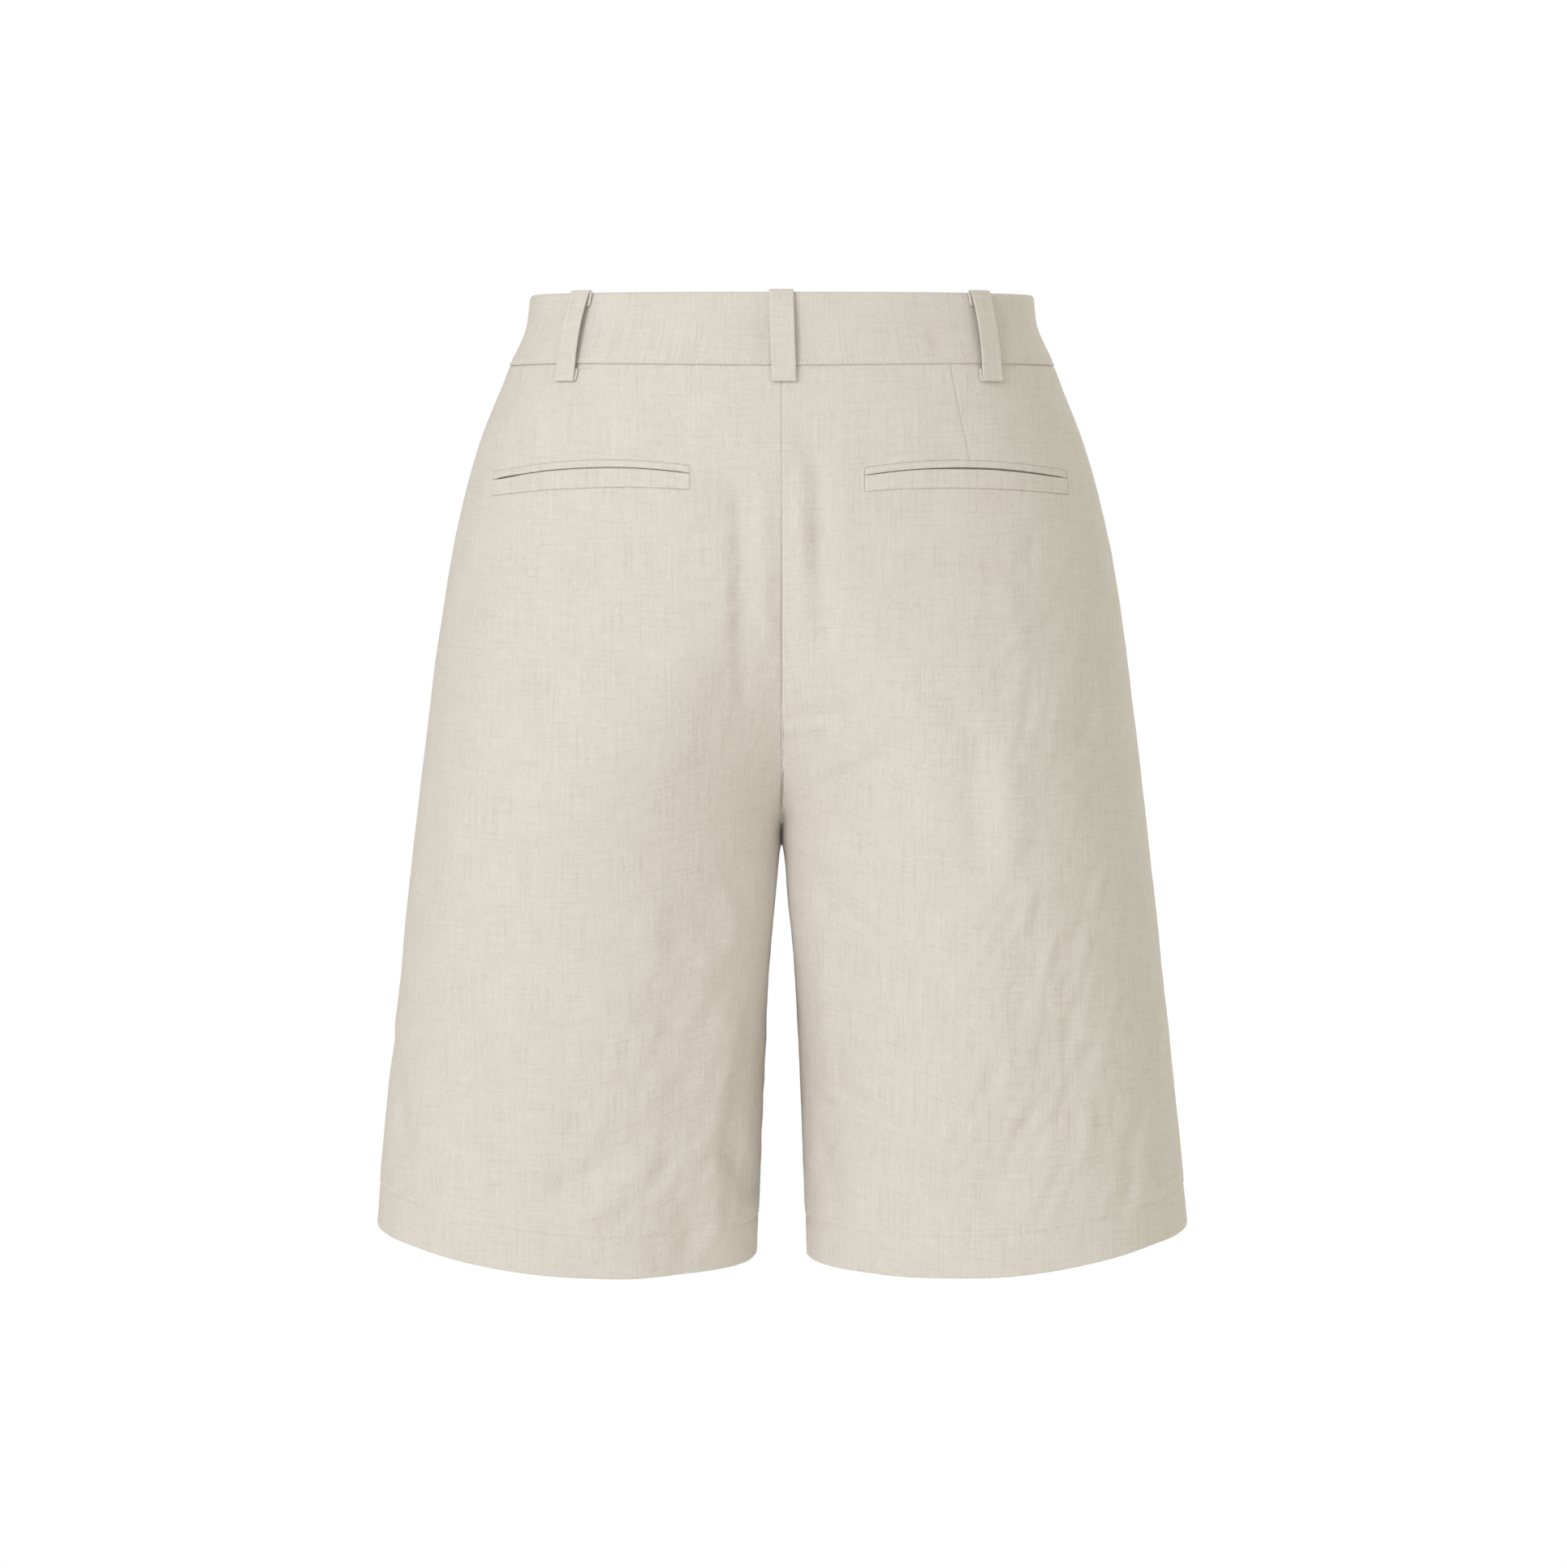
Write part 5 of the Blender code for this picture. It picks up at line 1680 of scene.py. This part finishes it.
@dataclass(frozen=True)
class Studio:
    """A white sweep with soft light from the upper left, and the camera behind the garment."""

    floor_height: float = -1.60
    floor_radius: float = 2.60
    camera_y: float = 2.03
    camera_z: float = -0.030
    camera_x: float = -0.0009
    pitch: float = 6.125
    lens: float = 85.0
    sensor: float = 36.0
    ambient: float = 0.696
    key: float = 31.2
    bounce: float = 6.6
    fill: float = 19.0
    # The point that the lights are turned to.
    aim: tuple[float, float, float] = (0.0, 0.0, -0.25)

    def build(self) -> None:
        """Lay the floor, hang the lights and set up the camera."""
        self._floor()
        self._world()
        self._lights()
        self._camera()

    def _floor(self) -> None:
        """A round, matt, off-white floor."""
        bpy.ops.object.select_all(action="DESELECT")
        place = (0, 0, self.floor_height)
        bpy.ops.mesh.primitive_circle_add(
            vertices=96, radius=self.floor_radius, fill_type="NGON", location=place
        )
        floor = bpy.context.object
        floor.name = "floor"
        bpy.ops.object.transform_apply(location=True)
        paper = {
            "Base Color": linear("#F4F3F0"),
            "Roughness": 0.95,
            "Emission Color": linear("#FFFFFF"),
            "Emission Strength": 0.10,
        }
        floor.data.materials.append(new_material("matt_white_paper", paper)[0])

    def _world(self) -> None:
        """Soft light from all round, a little warm, and pure white behind the garment."""
        world = bpy.data.worlds.new("studio")
        bpy.context.scene.world = world
        world.use_nodes = True
        tree = world.node_tree
        soft = tree.nodes["Background"]
        soft.inputs["Color"].default_value = linear("#FFFDEE")
        soft.inputs["Strength"].default_value = self.ambient
        glow = {"Color": linear("#FFFFFF"), "Strength": 1.0}
        white = add_node(tree, "ShaderNodeBackground", {}, glow)
        path = add_node(tree, "ShaderNodeLightPath")
        links = {0: path.outputs["Is Camera Ray"], 1: soft.outputs[0], 2: white.outputs[0]}
        mixed = add_node(tree, "ShaderNodeMixShader", links=links)
        tree.links.new(mixed.outputs[0], tree.nodes["World Output"].inputs["Surface"])

    def _lights(self) -> None:
        """A large soft key at the left behind the camera, one off the floor and one in front."""
        for name, place, colour, size, power in (
            ("key", (1.45, 2.07, 0.98), "#EEEEFF", 1.2, self.key),
            ("bounce", (0.0, 1.99, -1.40), "#F2F8FF", 1.2, self.bounce),
            ("front_fill", (-1.7, -2.0, 1.1), "#F6F6FF", 1.2, self.fill),
        ):
            light = bpy.data.lights.new(name, "AREA")
            light.shape = "DISK"
            light.size = size
            light.energy = power
            light.color = linear(colour)[:3]
            lamp = bpy.data.objects.new(name, light)
            bpy.context.scene.collection.objects.link(lamp)
            lamp.location = place
            way = Vector(self.aim) - Vector(place)
            lamp.rotation_euler = way.to_track_quat("-Z", "Y").to_euler()

    def _camera(self) -> None:
        """A camera behind the garment, just below waist height, pitched a little down."""
        camera = bpy.data.cameras.new("camera")
        camera.lens = self.lens
        camera.sensor_width = self.sensor
        camera.clip_start, camera.clip_end = 0.05, 60
        stand = bpy.data.objects.new("camera", camera)
        bpy.context.scene.collection.objects.link(stand)
        stand.location = (self.camera_x, self.camera_y, self.camera_z)
        stand.rotation_euler = (math.radians(90 - self.pitch), 0, math.pi)
        bpy.context.scene.camera = stand
        bpy.context.scene.view_settings.view_transform = "Standard"


@dataclass
class Shorts:
    """The whole garment: panels, waistband, belt loops, pockets, stitching and closure."""

    finishes: Finishes
    form: BodyForm = field(default_factory=BodyForm)
    crumple: Crumple = field(default_factory=Crumple)
    overlap_end: float = 14 * MM
    underlap_end: float = -22 * MM
    underlap_ramp: float = 16 * MM

    def build(self) -> None:
        """Make every piece of the garment, in the order in which it is sewn."""
        self.stitching = Topstitching()
        self._pockets()
        self._panels()
        self._waistbands()
        self._loops()
        self._sew_hems()
        self._sew_band()
        self._sew_pockets()
        self._sew_fly()
        button = WaistButton(self.form)
        button.build(self.finishes)
        button.sewn(self.finishes)
        button.buttonhole(self.finishes)

    def _pockets(self) -> None:
        """Name the two pockets, which their panels need."""
        left = BackPocket("pocket_left", 0.0475, 0.1535, -0.0745, -0.0792, 0.86, 1.0)
        right = BackPocket("pocket_right", 0.0430, 0.1515, -0.0755, -0.0785, 0.35, 0.95)
        self.pockets = {Side.LEFT: left, Side.RIGHT: right}

    def _panels(self) -> None:
        """Make the four leg panels and the strips of the pockets."""
        darts = {
            Side.LEFT: Dart(94.2, -20.0, 107.7, -67.7, 0.12),
            Side.RIGHT: Dart(88.1, -20.0, 97.4, -65.9, 0.38),
        }
        self.panels: dict[tuple[Side, Face], LegPanel] = {}
        self.panel_pieces: dict[tuple[Side, Face], bpy.types.Object] = {}
        for side in Side:
            for face in Face:
                name = f"{face.name.lower()}_{side.name.lower()}"
                panel = LegPanel(name, side, face, self.form, self.crumple)
                if face is Face.BACK:
                    panel.pocket, panel.dart = self.pockets[side], darts[side]
                    panel.laps = 0.30 * MM if side is Side.RIGHT else -0.04 * MM
                    panel.laps_top, panel.laps_bottom = -64 * MM, -272 * MM
                else:
                    panel.laps = 0.55 * MM if side is Side.RIGHT else -0.25 * MM
                self.panels[side, face] = panel
                self.panel_pieces[side, face] = panel.build(self.finishes)
        self.pocket_pieces = {}
        for side, pocket in self.pockets.items():
            panel = self.panels[side, Face.BACK]
            strips = [PocketPiece(pocket, panel, lower) for lower in (True, False)]
            self.pocket_pieces[side] = [strip.build(self.finishes) for strip in strips]

    def _waistbands(self) -> None:
        """Make the back waistband and the two front ones, of which the right laps over."""
        width = float(self.form.shape("half_width", np.array(0.0)))
        sink = 2.8 * MM
        under = math.acos(self.underlap_end / width)
        over = math.acos(self.overlap_end / width)
        ramp_start = math.acos((self.overlap_end + self.underlap_ramp) / width)
        ramp_end = math.acos((self.overlap_end + 1.2 * MM) / width)

        def sunk(angle: Array) -> Array:
            """How far the underlap lies below the overlap."""
            return sink * smooth_step((angle - ramp_start) / (ramp_end - ramp_start))

        pinched = (
            Crease(9, 19, 10, -14, 4, -0.7),
            Crease(12, -2, 42, -4, 8, -0.55),
        )
        self.bands = {
            name: Waistband(f"waistband_{where}", face, start, end, self.form, self.crumple, *extra)
            for name, where, face, start, end, *extra in (
                ("back", "back", Face.BACK, 0.0, math.pi, None, pinched),
                ("left", "front_left", Face.FRONT, 0.0, under, sunk),
                ("right", "front_right", Face.FRONT, over, math.pi),
            )
        }
        self.band_pieces = {name: band.build(self.finishes) for name, band in self.bands.items()}

    def _loops(self) -> None:
        """Make the five belt loops with their edge stitching."""
        loops = (
            ("loop_back_centre", Face.BACK, 0.3, -1.2, 0.0),
            ("loop_back_left", Face.BACK, 103.8, 113.2, -0.7),
            ("loop_back_right", Face.BACK, -102.2, -109.6, 0.7),
            ("loop_front_left", Face.FRONT, 85.0, 91.5, 0.0),
            ("loop_front_right", Face.FRONT, -85.0, -91.5, 0.0),
        )
        fine = Topstitching(length=1.3 * MM, radius=0.12 * MM, pitch=1.8 * MM)
        self.loop_pieces = []
        for name, face, top_x, bottom_x, shift in loops:
            loop = BeltLoop(name, face, top_x * MM, bottom_x * MM, self.form, shift * MM)
            self.loop_pieces.append(loop.build(self.finishes))
            for side, aside in (("a", -4.6 * MM), ("b", 4.6 * MM)):
                line, normals = loop.edge_line(aside)
                fine.sew(f"stitches_{loop.name}_{side}", line, normals, self.finishes)

    def _sew_hems(self) -> None:
        """Sew the turned-up hem of each panel."""
        self.hem_rows = {}
        across = np.linspace(0.002, 0.998, 300)
        for key, panel in self.panels.items():
            height = panel.hem_height(across) + HEM_DEPTH
            line, normals = panel.place(height, across)
            name = f"stitches_hem_{panel.name}"
            self.hem_rows[key] = self.stitching.sew(name, line, normals, self.finishes)

    def _sew_band(self) -> None:
        """Sew the lower edge of the waistband; its thread is twice its real thickness, to show."""
        bold = Topstitching(length=1.55 * MM, radius=0.38 * MM, pitch=2.65 * MM, dip=0.30 * MM)
        for name, band in self.bands.items():
            angles = np.linspace(band.start + 0.008, band.end - 0.008, 400)
            line, normals = band.place(np.full_like(angles, 2.35 * MM), angles)
            bold.sew(f"stitches_waistband_{name}", line, normals, self.finishes)

    def _sew_pockets(self) -> None:
        """Sew round each pocket's window, just outside the welt and the lip."""
        fine = Topstitching(length=1.1 * MM, radius=0.11 * MM, pitch=1.6 * MM, dip=0.12 * MM)
        self.pocket_rows = {}
        for side, pocket in self.pockets.items():
            panel = self.panels[side, Face.BACK]
            x = np.linspace(pocket.inner_x + 1 * MM, pocket.outer_x - 1 * MM, 160)
            lines = [
                ("low", x, pocket.opening(x) + (-pocket.slit / 2 - pocket.depth(x))),
                ("high", x, pocket.opening(x) + (pocket.slit / 2 + pocket.lip)),
            ]
            for kind, end in (("inner", pocket.inner_x), ("outer", pocket.outer_x)):
                z = pocket.opening(np.array(end)) + np.linspace(-8.2, 3.8, 40) * MM
                lines.append((kind, np.full_like(z, end), z))
            self.pocket_rows[side] = []
            for kind, x, z in lines:
                points, normals = panel.place_at(x, z, windowed=False)
                name = f"stitches_{pocket.name}_{kind}"
                self.pocket_rows[side].append(fine.sew(name, points, normals, self.finishes))

    def _sew_fly(self) -> None:
        """Sew the curved fly stitching on the front that laps over."""
        panel = self.panels[Side.RIGHT, Face.FRONT]
        path = (
            *((34, -21.5), (34, -60), (34, -100), (33.5, -135)),
            *((30, -156), (22, -170), (11, -178), (2.5, -181)),
        )
        line = smooth_path(path, 24) * MM
        points, normals = panel.place_at(line[:, 0], line[:, 1])
        self.stitching.sew("stitches_fly", points, normals, self.finishes)

    def declare(self) -> None:
        """Gather the pieces sewn onto each panel; nothing further is done with them."""
        for (side, face), piece in self.panel_pieces.items():
            extra = [self.hem_rows[side, face]]
            if face is Face.BACK:
                extra += self.pocket_pieces[side] + self.pocket_rows[side]


def main() -> None:
    """Build the garment and its studio, and report each piece."""
    logging.basicConfig(level=logging.INFO, format="%(message)s")
    finishes = Finishes(SlubLinen().build(), SewingThread().build(), ResinButton().build())
    shorts = Shorts(finishes)
    shorts.build()
    shorts.declare()
    Studio().build()


if __name__ == "__main__":
    main()
